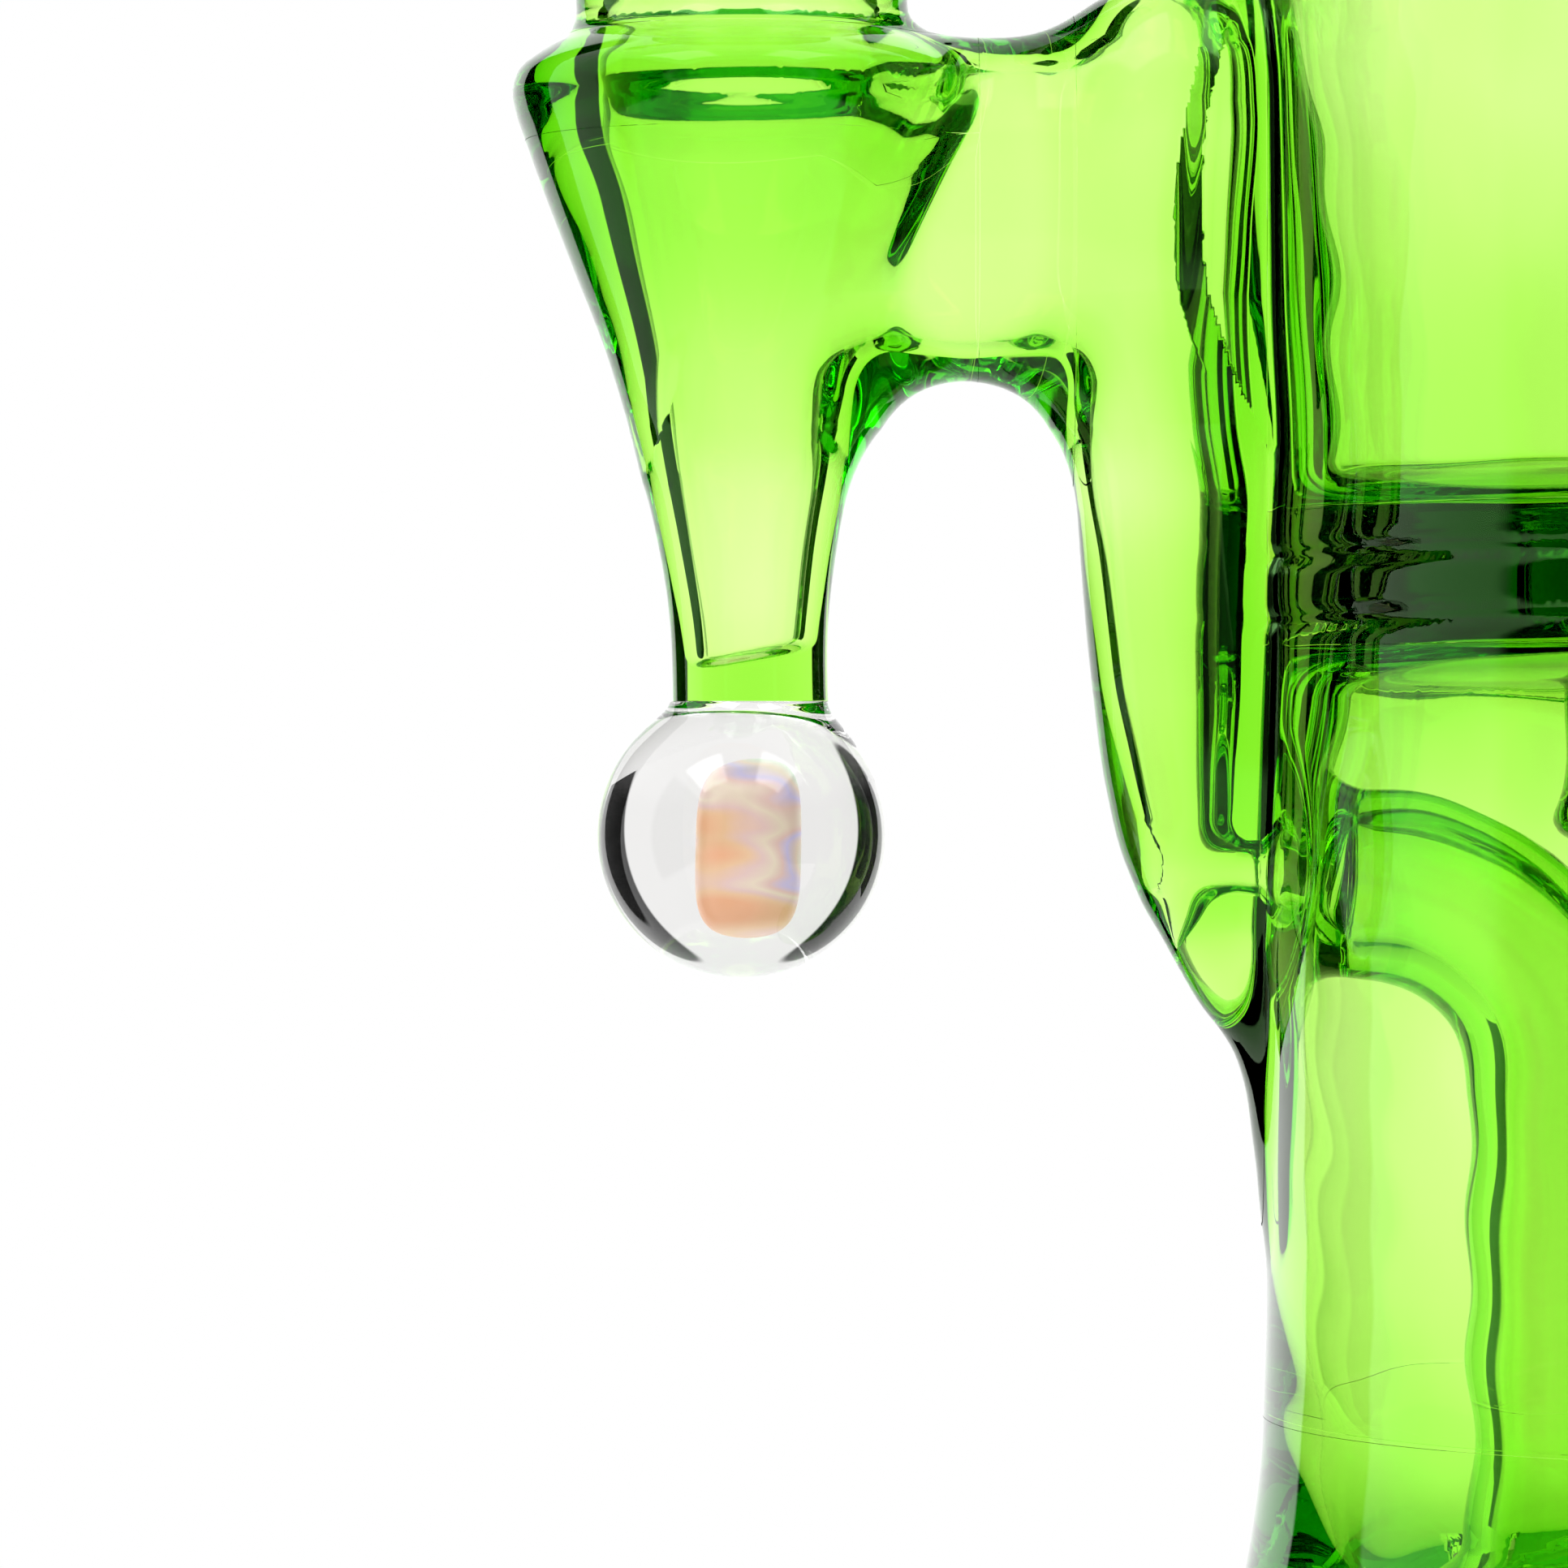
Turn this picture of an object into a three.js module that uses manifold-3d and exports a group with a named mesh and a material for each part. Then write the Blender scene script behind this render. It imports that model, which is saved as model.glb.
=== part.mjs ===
// A hand-blown glass water pipe, in millimetres, +Z up.
// The origin is on the can's axis, at the flat underside of the foot. The socket hangs on the -X side.
// Each welded section of the vessel is its own solid, with a thin weld gap to its neighbours.
import * as THREE from "three";
import { mergeVertices } from "three/addons/utils/BufferGeometryUtils.js";
import Module from "manifold-3d";

const wasm = await Module();
wasm.setup();

// ---------------------------------------------------------------- driving dimensions
const weldGap = 0.3; // between two sections that the glass blower fuses
const groundFit = 0.1; // between the bowl's ground cone and its socket, on the radius

// Can: foot, lower chamber, divider, upper chamber, shoulder
const canRadius = 30;
const canWall = 3;
const footRadius = 38.5;
const footThickness = 6.5;
const flareHeight = 19.5; // from the foot's top to where the can's wall turns upright
const lowerChamberHeight = 61.4; // from the foot's top to the divider's underside
const dividerThickness = 7.6;
const upperChamberHeight = 36;
const upperChamberWaist = 0.8; // how much narrower the upper chamber is at its foot
const shoulderHeight = 26;

// Neck and mouthpiece
const neckRadius = 12.5;
const neckWall = 2.6;
const neckRingHeight = 4.4;
const neckRingOverhang = 3;
const neckRise = 4;
const neckBendRadius = 45;
const neckLean = 25; // degrees, towards +X
const neckStraight = 16;
const mouthLength = 14;
const mouthFlare = 4.5;

// Socket, cup and drop marble
const socketReach = 58.25; // from the can's axis to the socket's axis
const socketBore = 7.25; // at the mouth of the ground taper, on the radius
const socketWall = 1.75;
const groundLength = 14;
const groundTaper = 0.05; // radius lost per mm of depth
const socketRimOverhang = 1.2;
const socketTop = 120;
const collarFoot = 100.9;
const ringRadius = 12.5;
const ringHeight = 5.4;
const cupHeight = 28; // from the ring's underside to the green tip
const cupFootRadius = 4.2;
const cupFootBore = 2.4;
const tipHeight = 1.8;
const marbleRadius = 7.85;
const marbleNeckHeight = 7.2; // from the marble's centre to the green tip
const opalRadius = 1.95;
const opalLength = 6.4;
const opalFit = 0.3;

// Bridge from the cup to the side tube
const bridgeHalfHeight = 9.3;
const bridgeHalfDepth = 5.6;
const bridgeWall = 2;
const bridgeDrop = 9.7; // from the collar's foot down to the bridge's axis

// Side tube
const sideTubeReach = 33.9; // from the can's axis
const sideTubeRadius = 6;
const sideBoreReach = 35; // the bore runs outboard of the tube's own axis
const sideBoreRadius = 3.6;
const sideTubeTop = 98.5;
const sideCapHeight = 7;
const sideTaperTop = 70;
const sideTubeFoot = 52.5;
const sideTipHeight = 4.2;

// Wall seal, bent downcomer and diffuser
const sealHeight = 56.4;
const sealRadius = 4.2;
const sealBore = 2.5;
const downcomerRadius = 5.25;
const downcomerWall = 1.5;
const downcomerReach = 13.6; // from the can's axis to the upright stem
const bendFoot = 41.3;
const stemFoot = 18;
const bellRadius = 11;
const bellHeight = 7;
const slitCount = 10;
const slitWidth = 1.4;
const slitHeight = 3.2;
const plateThickness = 1.5;
const plateHoleRadius = 0.9;
const plateHoleCount = 8;
const plateRise = 1.2; // from the chamber's floor to the diffuser plate

// Risers through the divider
const riserCount = 3;
const riserPitch = 9;
const riserRadius = 4.9;
const riserBore = 3.1;
const riserDrop = 9.8; // below the divider
const riserLip = 0.4;

// Bowl
const coneDepth = 13.6; // how much of the ground cone sits in the socket
const coneWall = 2.2;
const bowlRingHeight = 3.2;
const bowlNeckRadius = 6.4;
const bowlNeckHeight = 5;
const bowlRadius = 13.5;
const bowlWall = 2.2;
const bowlDepth = 14;
const bowlHole = 2.2;
const screenRadius = 4.6;
const screenThickness = 1.6;
const screenHoleRadius = 0.7;
const screenHoleCount = 6;
const screenKnobRadius = 1.3;
const screenKnobHeight = 6;
const hornRadius = 2.3;
const hornReach = 15;
const hornRise = 9;
const hornBallRadius = 3.4;

// ---------------------------------------------------------------- worked out from them
const chamberFloor = footThickness;
const dividerFoot = chamberFloor + lowerChamberHeight;
const dividerTop = dividerFoot + dividerThickness;
const shoulderFoot = dividerTop + upperChamberHeight;
const shoulderTop = shoulderFoot + shoulderHeight;
const canBore = canRadius - canWall;
const ringTop = collarFoot - weldGap;
const ringFoot = ringTop - ringHeight;
const cupTop = ringFoot - weldGap;
const cupFoot = cupTop - cupHeight;
const tipTop = cupFoot - weldGap;
const tipFoot = tipTop - tipHeight;
const marbleTop = tipFoot - weldGap;
const marbleCentre = tipFoot - marbleNeckHeight;
const bridgeHeight = collarFoot - bridgeDrop;
const plateFoot = chamberFloor + plateRise;
const bellFoot = plateFoot + plateThickness + weldGap;
const bellTop = bellFoot + bellHeight;
const bowlSeat = socketTop + weldGap;

const roundSteps = 40; // facets round a large section
const tubeSteps = 24; // facets round a small one
const far = 200; // past everything

// ---------------------------------------------------------------- geometry helpers
// A closed solid from any three.js geometry: shared corners merged, flat triangles dropped.
function solidOf(geometry) {
  const bare = geometry.index ? geometry.toNonIndexed() : geometry.clone();
  bare.deleteAttribute("normal");
  bare.deleteAttribute("uv");
  const merged = mergeVertices(bare, 1e-4);
  const corners = merged.index.array;
  const kept = [];
  for (let i = 0; i < corners.length; i += 3) {
    const [a, b, c] = corners.slice(i, i + 3);
    if (a !== b && b !== c && c !== a) kept.push(a, b, c);
  }
  const build = (triangles) =>
    new wasm.Manifold(
      new wasm.Mesh({
        numProp: 3,
        vertProperties: new Float32Array(merged.attributes.position.array),
        triVerts: new Uint32Array(triangles),
      }),
    );
  const made = build(kept);
  if (made.volume() > 0) return made;
  const turned = [];
  for (let i = 0; i < kept.length; i += 3) turned.push(kept[i], kept[i + 2], kept[i + 1]);
  return build(turned);
}

// A round section about an upright axis at x, from an outline of [radius, height] points.
function turned(outline, x = 0, steps = tubeSteps) {
  const points = outline.map(([r, z]) => new THREE.Vector2(r, z));
  const geometry = new THREE.LatheGeometry(points, steps);
  geometry.rotateX(Math.PI / 2);
  geometry.translate(x, 0, 0);
  return solidOf(geometry);
}

// A wall between an outer and an inner outline, both listed from the bottom up.
function wallOf(outer, inner, x = 0, steps = tubeSteps) {
  return turned([...outer, ...[...inner].reverse(), outer[0]], x, steps);
}

// A solid round bar along a curve.
function barAlong(path, radius, steps, sides = tubeSteps) {
  const section = new THREE.Shape().absarc(0, 0, radius, 0, 2 * Math.PI, false);
  const geometry = new THREE.ExtrudeGeometry(section, {
    steps,
    curveSegments: sides / 2,
    bevelEnabled: false,
    extrudePath: path,
  });
  return solidOf(geometry);
}

// An upright round bar, and one that lies along X.
function uprightBar(radius, foot, top, x = 0, y = 0, steps = tubeSteps) {
  const geometry = new THREE.CylinderGeometry(radius, radius, top - foot, steps);
  geometry.rotateX(Math.PI / 2);
  geometry.translate(x, y, (foot + top) / 2);
  return solidOf(geometry);
}

function levelBar(radius, start, end, z) {
  const geometry = new THREE.CylinderGeometry(radius, radius, end - start, tubeSteps);
  geometry.rotateZ(Math.PI / 2);
  geometry.translate((start + end) / 2, 0, z);
  return solidOf(geometry);
}

// A level bar of oval section, along X.
function ovalBar(halfHeight, halfDepth, start, end, z) {
  const geometry = new THREE.CylinderGeometry(1, 1, end - start, tubeSteps);
  geometry.rotateZ(Math.PI / 2);
  geometry.scale(1, halfDepth, halfHeight);
  geometry.translate((start + end) / 2, 0, z);
  return solidOf(geometry);
}

// The same outline, moved outwards by a gap.
const grown = (outline, gap) => outline.map(([r, z]) => [r + gap, z]);

const glassGreen = { color: 0x9cf52a, roughness: 0.02, metalness: 0 };
const glassClear = { color: 0xf2f6f4, roughness: 0.02, metalness: 0 };
const opalWhite = { color: 0xe6d9c0, roughness: 0.25, metalness: 0 };
const group = new THREE.Group();

function add(name, solid, look = glassGreen) {
  const { vertProperties, triVerts, numProp } = solid.getMesh();
  const positions = new Float32Array((vertProperties.length / numProp) * 3);
  for (let i = 0; i < positions.length / 3; i++) {
    positions.set(vertProperties.subarray(i * numProp, i * numProp + 3), i * 3);
  }
  const geometry = new THREE.BufferGeometry();
  geometry.setAttribute("position", new THREE.BufferAttribute(positions, 3));
  geometry.setIndex(new THREE.BufferAttribute(new Uint32Array(triVerts), 1));
  geometry.computeVertexNormals();
  const mesh = new THREE.Mesh(geometry, new THREE.MeshStandardMaterial(look));
  mesh.name = name;
  group.add(mesh);
}

// ---------------------------------------------------------------- can
const footEdge = footRadius - 1.5; // where the foot's top meets the flare of the lower chamber
add(
  "foot",
  turned(
    [
      [0, 0],
      [footRadius - 1, 0],
      [footRadius, 1.2],
      [footRadius, footThickness / 2],
      [footEdge, footThickness],
      [0, footThickness],
    ],
    0,
    roundSteps,
  ),
);

const flareFoot = chamberFloor + weldGap;
const flareTop = chamberFloor + flareHeight;
const flareReach = footEdge - canRadius;
const flareOuter = [
  [footEdge, flareFoot],
  [canRadius + 0.5 * flareReach, flareFoot + 0.26 * flareHeight],
  [canRadius + 0.17 * flareReach, flareFoot + 0.57 * flareHeight],
  [canRadius, flareTop],
];
const flareInner = [
  [canBore - 3, flareFoot],
  [canBore - 0.8, flareFoot + 0.13 * flareHeight],
  [canBore, flareFoot + 0.36 * flareHeight],
  [canBore, flareTop],
];
add("foot_flare", wallOf(flareOuter, flareInner, 0, roundSteps));

const lowerFoot = flareTop + weldGap;
const lowerTop = dividerFoot - weldGap;
const lowerOuter = [
  [canRadius, lowerFoot],
  [canRadius, lowerTop - 2],
  [canRadius - 0.4, lowerTop],
];
const lowerInner = [
  [canBore, lowerFoot],
  [canBore, lowerTop - 2],
  [canBore - 1.5, lowerTop],
];
const sealHole = levelBar(sealRadius + weldGap, -far, 0, sealHeight);
add("lower_chamber", wallOf(lowerOuter, lowerInner, 0, roundSteps).subtract(sealHole));

// The divider is a thick disc with two shallow weld grooves round its edge and a hole for each riser.
const dividerRadius = canRadius - 0.4;
const grooveDepth = 0.5;
const grooveHeights = [0.2, 0.58].map((share) => dividerFoot + share * dividerThickness);
const dividerOutline = [
  [0, dividerFoot],
  [dividerRadius, dividerFoot],
  ...grooveHeights.flatMap((z) => [
    [dividerRadius, z - 0.7],
    [dividerRadius - grooveDepth, z],
    [dividerRadius, z + 0.7],
  ]),
  [dividerRadius, dividerTop],
  [0, dividerTop],
];
const riserPlaces = Array.from({ length: riserCount }, (_, i) => {
  const angle = Math.PI + (i * 2 * Math.PI) / riserCount;
  return [riserPitch * Math.cos(angle), riserPitch * Math.sin(angle)];
});
let divider = turned(dividerOutline, 0, roundSteps);
riserPlaces.forEach(([x, y]) => {
  const hole = uprightBar(riserRadius + weldGap, dividerFoot - 1, dividerTop + 1, x, y);
  divider = divider.subtract(hole);
});
add("divider", divider);

const upperFoot = dividerTop + weldGap;
const upperTop = shoulderFoot - weldGap;
const upperFootRadius = canRadius - upperChamberWaist;
const upperOuter = [
  [upperFootRadius, upperFoot],
  [upperFootRadius + 0.3 * upperChamberWaist, upperFoot + 0.4 * upperChamberHeight],
  [canRadius, upperTop],
];
const upperInner = [
  [canBore - 2.3, upperFoot],
  [canBore - 0.8, upperFoot + 1.8],
  [canBore - 0.5, upperFoot + 0.4 * upperChamberHeight],
  [canBore, upperTop],
];
add("upper_chamber", wallOf(upperOuter, upperInner, 0, roundSteps));

// The shoulder closes in along a quarter wave, from the chamber's radius to the neck's.
function shoulderOutline(wide, narrow) {
  const rings = 7;
  return Array.from({ length: rings + 1 }, (_, i) => {
    const share = i / rings;
    const radius = narrow + (wide - narrow) * (0.5 + 0.5 * Math.cos(Math.PI * share));
    return [radius, shoulderFoot + share * shoulderHeight];
  });
}
const neckBore = neckRadius - neckWall;
const shoulderOuter = shoulderOutline(canRadius, neckRadius);
const shoulderInner = shoulderOutline(canBore, neckBore);
add("shoulder", wallOf(shoulderOuter, shoulderInner, 0, roundSteps));

// ---------------------------------------------------------------- neck and mouthpiece
const neckRingFoot = shoulderTop + weldGap;
const neckRingTop = neckRingFoot + neckRingHeight;
const neckRingRadius = neckRadius + neckRingOverhang;
const neckRingOuter = [
  [neckRadius + 0.6, neckRingFoot],
  [neckRingRadius - 0.5, neckRingFoot + 0.2 * neckRingHeight],
  [neckRingRadius, neckRingFoot + 0.5 * neckRingHeight],
  [neckRingRadius - 0.5, neckRingFoot + 0.8 * neckRingHeight],
  [neckRadius + 0.6, neckRingTop],
];
const neckRingInner = [
  [neckBore, neckRingFoot],
  [neckBore, neckRingTop],
];
add("neck_ring", wallOf(neckRingOuter, neckRingInner, 0, roundSteps));

// The neck's centreline: a short rise, a bend towards +X, and a straight run.
const lean = THREE.MathUtils.degToRad(neckLean);
const neckFoot = neckRingTop + weldGap;
const bendStart = neckFoot + neckRise;
const bendSteps = 6;
const neckPoints = [new THREE.Vector3(0, 0, neckFoot)];
for (let i = 0; i <= bendSteps; i++) {
  const turn = (lean * i) / bendSteps;
  const x = neckBendRadius * (1 - Math.cos(turn));
  const z = bendStart + neckBendRadius * Math.sin(turn);
  neckPoints.push(new THREE.Vector3(x, 0, z));
}
const leaning = new THREE.Vector3(Math.sin(lean), 0, Math.cos(lean));
const bendEnd = neckPoints[neckPoints.length - 1];
const neckEnd = bendEnd.clone().addScaledVector(leaning, neckStraight);
neckPoints.push(neckEnd);
const neckLine = new THREE.CatmullRomCurve3(neckPoints);
const neckAlong = 12;
const neckOutside = barAlong(neckLine, neckRadius, neckAlong);
const neckInside = barAlong(neckLine, neckBore, neckAlong);
const neckEndBore = uprightBar(neckBore, neckFoot - 2, neckFoot + 0.5, 0, 0);
add("neck", neckOutside.subtract(neckInside).subtract(neckEndBore));

// A round section whose axis leaves the neck's end along its lean.
function onNeckEnd(solid) {
  const start = neckEnd.clone().addScaledVector(leaning, weldGap);
  return solid.rotate([0, neckLean, 0]).translate([start.x, start.y, start.z]);
}
const mouthOuter = [
  [neckRadius, 0],
  [neckRadius, 0.3 * mouthLength],
  [neckRadius + 0.35 * mouthFlare, 0.65 * mouthLength],
  [neckRadius + 0.9 * mouthFlare, 0.92 * mouthLength],
  [neckRadius + mouthFlare, mouthLength],
];
const mouthInner = [
  [neckBore, 0],
  [neckBore, 0.3 * mouthLength],
  [neckBore + 0.3 * mouthFlare, 0.65 * mouthLength],
  [neckBore + 0.8 * mouthFlare, 0.92 * mouthLength],
  [neckBore + mouthFlare, mouthLength],
];
add("mouthpiece", onNeckEnd(wallOf(mouthOuter, mouthInner, 0, roundSteps)));

const lipFoot = mouthLength + weldGap;
const lipHeight = 2.6;
const lipRadius = neckRadius + mouthFlare;
const lipOuter = [
  [lipRadius, lipFoot],
  [lipRadius + 0.8, lipFoot + 0.5 * lipHeight],
  [lipRadius, lipFoot + lipHeight],
];
const lipInner = [
  [lipRadius - neckWall, lipFoot],
  [lipRadius - neckWall, lipFoot + lipHeight],
];
add("mouth_lip", onNeckEnd(wallOf(lipOuter, lipInner, 0, roundSteps)));

// ---------------------------------------------------------------- socket, ring and cup
const socketX = -socketReach;
const groundFoot = socketTop - groundLength;
const groundRadiusAt = (z) => socketBore - groundTaper * (socketTop - z);
const collarRadius = socketBore + socketWall;
const rimRadius = collarRadius + socketRimOverhang;
const collarOuter = [
  [collarRadius, collarFoot],
  [collarRadius, socketTop - 2.8],
  [rimRadius - 0.3, socketTop - 2.2],
  [rimRadius, socketTop - 1.2],
  [rimRadius - 0.5, socketTop],
];
const collarInner = [
  [socketBore, collarFoot],
  [socketBore, groundFoot - 1.5],
  [groundRadiusAt(groundFoot), groundFoot],
  [socketBore, socketTop],
];
add("socket_collar", wallOf(collarOuter, collarInner, socketX));

const ringWaist = ringRadius - 0.6;
const ringOuter = [
  [ringWaist, ringFoot],
  [ringRadius - 0.1, ringFoot + 0.25 * ringHeight],
  [ringRadius, ringFoot + 0.42 * ringHeight],
  [ringRadius - 1.1, ringFoot + 0.8 * ringHeight],
  [collarRadius + 0.4, ringTop],
];
const ringInner = [
  [socketBore + 0.35, ringFoot],
  [socketBore, ringTop],
];

// The cup's outside and bore at shares of its height, as shares of the way from foot to top.
const cupWallAt = [
  [0, 0, 0],
  [0.087, 0.02, 0.02],
  [0.24, 0.11, 0.12],
  [0.395, 0.25, 0.31],
  [0.564, 0.42, 0.43],
  [0.75, 0.68, 0.58],
  [0.9, 0.88, 0.8],
  [1, 1, 1],
];
const cupBoreTop = socketBore + 0.35;
const cupOuter = cupWallAt.map(([h, outer]) => [
  cupFootRadius + outer * (ringWaist - cupFootRadius),
  cupFoot + h * cupHeight,
]);
const cupInner = cupWallAt.map(([h, , bore]) => [
  cupFootBore + bore * (cupBoreTop - cupFootBore),
  cupFoot + h * cupHeight,
]);

const bridgeBore = ovalBar(
  bridgeHalfHeight - bridgeWall,
  bridgeHalfDepth - bridgeWall,
  socketX,
  -sideBoreReach,
  bridgeHeight,
);
add("socket_ring", wallOf(ringOuter, ringInner, socketX).subtract(bridgeBore));
add("cup", wallOf(cupOuter, cupInner, socketX).subtract(bridgeBore));
add("cup_tip", uprightBar(cupFootRadius, tipFoot, tipTop, socketX));

// ---------------------------------------------------------------- drop marble
// The clear marble is cast round the opal, with a plug of the same glass over it.
const pocketRadius = opalRadius + opalFit;
const marbleNeckRadius = cupFootRadius - 0.1;
const opalFoot = marbleCentre - opalLength / 2;
const opalTop = opalFoot + opalLength;
const marbleRings = 14;
const neckAngle = Math.asin(Math.min(0.95, (marbleNeckRadius + 1.6) / marbleRadius));
const marbleOutline = [[0, marbleCentre - marbleRadius]];
for (let i = 1; i <= marbleRings; i++) {
  const angle = ((Math.PI - neckAngle) * i) / marbleRings;
  const radius = marbleRadius * Math.sin(angle);
  marbleOutline.push([radius, marbleCentre - marbleRadius * Math.cos(angle)]);
}
const ballTop = marbleOutline[marbleOutline.length - 1][1];
marbleOutline.push([marbleNeckRadius + 0.5, (ballTop + marbleTop) / 2]);
marbleOutline.push([marbleNeckRadius, marbleTop]);
marbleOutline.push([0, marbleTop]);
const pocket = uprightBar(pocketRadius, opalFoot - opalFit, marbleTop + 1, socketX);
add("drop_marble", turned(marbleOutline, socketX).subtract(pocket), glassClear);

const opalOutline = [
  [0, opalFoot],
  [opalRadius - 0.7, opalFoot],
  [opalRadius - 0.2, opalFoot + 0.3],
  [opalRadius, opalFoot + 0.9],
  [opalRadius, opalTop - 0.9],
  [opalRadius - 0.2, opalTop - 0.3],
  [opalRadius - 0.7, opalTop],
  [0, opalTop],
];
add("opal", turned(opalOutline, socketX), opalWhite);
const plugRod = uprightBar(pocketRadius - weldGap, opalTop + opalFit, marbleTop, socketX);
add("marble_plug", plugRod, glassClear);

// ---------------------------------------------------------------- side tube
const sideX = -sideTubeReach;
const sideBoreX = -sideBoreReach;
const sideTubeTopFace = sideTubeTop - weldGap;
const taperHeight = sideTaperTop - sideTubeFoot;
const sideTipRadius = 0.5 * sideTubeRadius;
const sideOuter = [
  [sideTipRadius, sideTubeFoot],
  [0.75 * sideTubeRadius, sideTubeFoot + 0.2 * taperHeight],
  [0.94 * sideTubeRadius, sideTubeFoot + 0.5 * taperHeight],
  [sideTubeRadius, sideTaperTop],
  [sideTubeRadius, sideTubeTopFace],
];
const sideBore = turned(
  [
    [0, sideTubeFoot + 1.5],
    [0.25 * sideBoreRadius, sideTubeFoot + 2],
    [0.55 * sideBoreRadius, sideTubeFoot + 0.4 * taperHeight],
    [0.7 * sideBoreRadius, sideTubeFoot + 0.7 * taperHeight],
    [sideBoreRadius, sideTaperTop + 5],
    [sideBoreRadius, sideTubeTop + 1],
    [0.8 * sideBoreRadius, sideTubeTop + 0.4 * sideCapHeight],
    [0, sideTubeTop + 0.55 * sideCapHeight],
  ],
  sideBoreX,
);
// What the side tube has to stay clear of: the can's own outside, a weld gap larger.
const canKeepOut = turned(
  [
    [0, 0],
    ...grown(lowerOuter, weldGap),
    [canRadius + weldGap, dividerFoot],
    [canRadius + weldGap, dividerTop],
    ...grown(upperOuter, weldGap),
    ...grown(shoulderOuter, weldGap),
    [0, shoulderTop],
  ],
  0,
  roundSteps,
);
const sideSolid = turned([[0, sideTubeFoot], ...sideOuter, [0, sideTubeTopFace]], sideX);
const sealBar = levelBar(sealRadius + weldGap, sideBoreX, 0, sealHeight);
const sealPassage = levelBar(sealBore, sideBoreX, 0, sealHeight);
const sideTube = sideSolid.subtract(canKeepOut).subtract(sideBore).subtract(bridgeBore);
add("side_tube", sideTube.subtract(sealPassage));

const capOutline = [
  [0, sideTubeTop],
  [sideTubeRadius, sideTubeTop],
  [0.94 * sideTubeRadius, sideTubeTop + 0.35 * sideCapHeight],
  [0.7 * sideTubeRadius, sideTubeTop + 0.75 * sideCapHeight],
  [0.35 * sideTubeRadius, sideTubeTop + 0.95 * sideCapHeight],
  [0, sideTubeTop + sideCapHeight],
];
add("side_tube_cap", turned(capOutline, sideX).subtract(canKeepOut).subtract(sideBore));

const sideTipTop = sideTubeFoot - weldGap;
const sideTipOutline = [
  [0, sideTipTop - sideTipHeight],
  [0.4 * sideTipRadius, sideTipTop - 0.8 * sideTipHeight],
  [sideTipRadius, sideTipTop],
  [0, sideTipTop],
];
add("side_tube_tip", turned(sideTipOutline, sideX).subtract(canKeepOut));

// ---------------------------------------------------------------- bridge
// The bridge is an oval tube, cut to the round of the cup on one side and of the side tube on the other.
const cupKeepOut = turned(
  [
    [0, cupFoot],
    ...grown(cupOuter, weldGap),
    ...grown(ringOuter, weldGap),
    [collarRadius + 0.4 + weldGap, collarFoot + 1],
    [0, collarFoot + 1],
  ],
  socketX,
);
const sideKeepOut = turned(
  [
    [0, sideTubeFoot],
    ...grown(sideOuter.slice(0, -1), weldGap),
    [sideTubeRadius + weldGap, sideTubeTop + sideCapHeight],
    [0, sideTubeTop + sideCapHeight],
  ],
  sideX,
);
const bridgeBody = ovalBar(bridgeHalfHeight, bridgeHalfDepth, socketX, sideX, bridgeHeight);
add("bridge", bridgeBody.subtract(bridgeBore).subtract(cupKeepOut).subtract(sideKeepOut));

// ---------------------------------------------------------------- wall seal, downcomer and diffuser
// The seal is a short stub through the can's wall, cut to the round of the side tube's outside.
const sealInnerEnd = -(canBore - 0.6);
const sealBody = levelBar(sealRadius, -canRadius, sealInnerEnd, sealHeight);
const sealCut = levelBar(sealBore, -far, 0, sealHeight);
add("wall_seal", sealBody.subtract(sealCut));

const downcomerBore = downcomerRadius - downcomerWall;
const bendRun = sealHeight - bendFoot;
const bendStartX = sealInnerEnd + weldGap;
const stemX = -downcomerReach;
const bendLine = new THREE.CatmullRomCurve3(
  [
    [bendStartX, sealHeight],
    [bendStartX + 0.27 * (stemX - bendStartX), sealHeight - 0.06 * bendRun],
    [bendStartX + 0.53 * (stemX - bendStartX), sealHeight - 0.18 * bendRun],
    [bendStartX + 0.78 * (stemX - bendStartX), sealHeight - 0.38 * bendRun],
    [bendStartX + 0.93 * (stemX - bendStartX), sealHeight - 0.62 * bendRun],
    [stemX, bendFoot],
  ].map(([x, z]) => new THREE.Vector3(x, 0, z)),
);
const bendAlong = 14;
const wallKeepIn = uprightBar(canBore - weldGap, 0, dividerFoot, 0, 0, roundSteps);
const bendOutside = barAlong(bendLine, downcomerRadius, bendAlong).intersect(wallKeepIn);
const bendInside = barAlong(bendLine, downcomerBore, bendAlong);
const bendFootBore = uprightBar(downcomerBore, bendFoot - 1, bendFoot + 0.6, stemX);
const bendStub = levelBar(downcomerBore, bendStartX - 2, bendStartX + 0.6, sealHeight);
const bendBelow = uprightBar(far, -far, bendFoot);
const bendOutboard = levelBar(far, -far, bendStartX, sealHeight);
const bend = bendOutside.subtract(bendInside).subtract(bendFootBore).subtract(bendStub);
add("downcomer_bend", bend.subtract(bendBelow).subtract(bendOutboard));

const stemFlare = 0.35;
add(
  "downcomer_stem",
  wallOf(
    [
      [downcomerRadius + stemFlare, stemFoot],
      [downcomerRadius, (stemFoot + bendFoot) / 2],
      [downcomerRadius, bendFoot - weldGap],
    ],
    [
      [downcomerBore + stemFlare, stemFoot],
      [downcomerBore, (stemFoot + bendFoot) / 2],
      [downcomerBore, bendFoot - weldGap],
    ],
    stemX,
  ),
);

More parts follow.
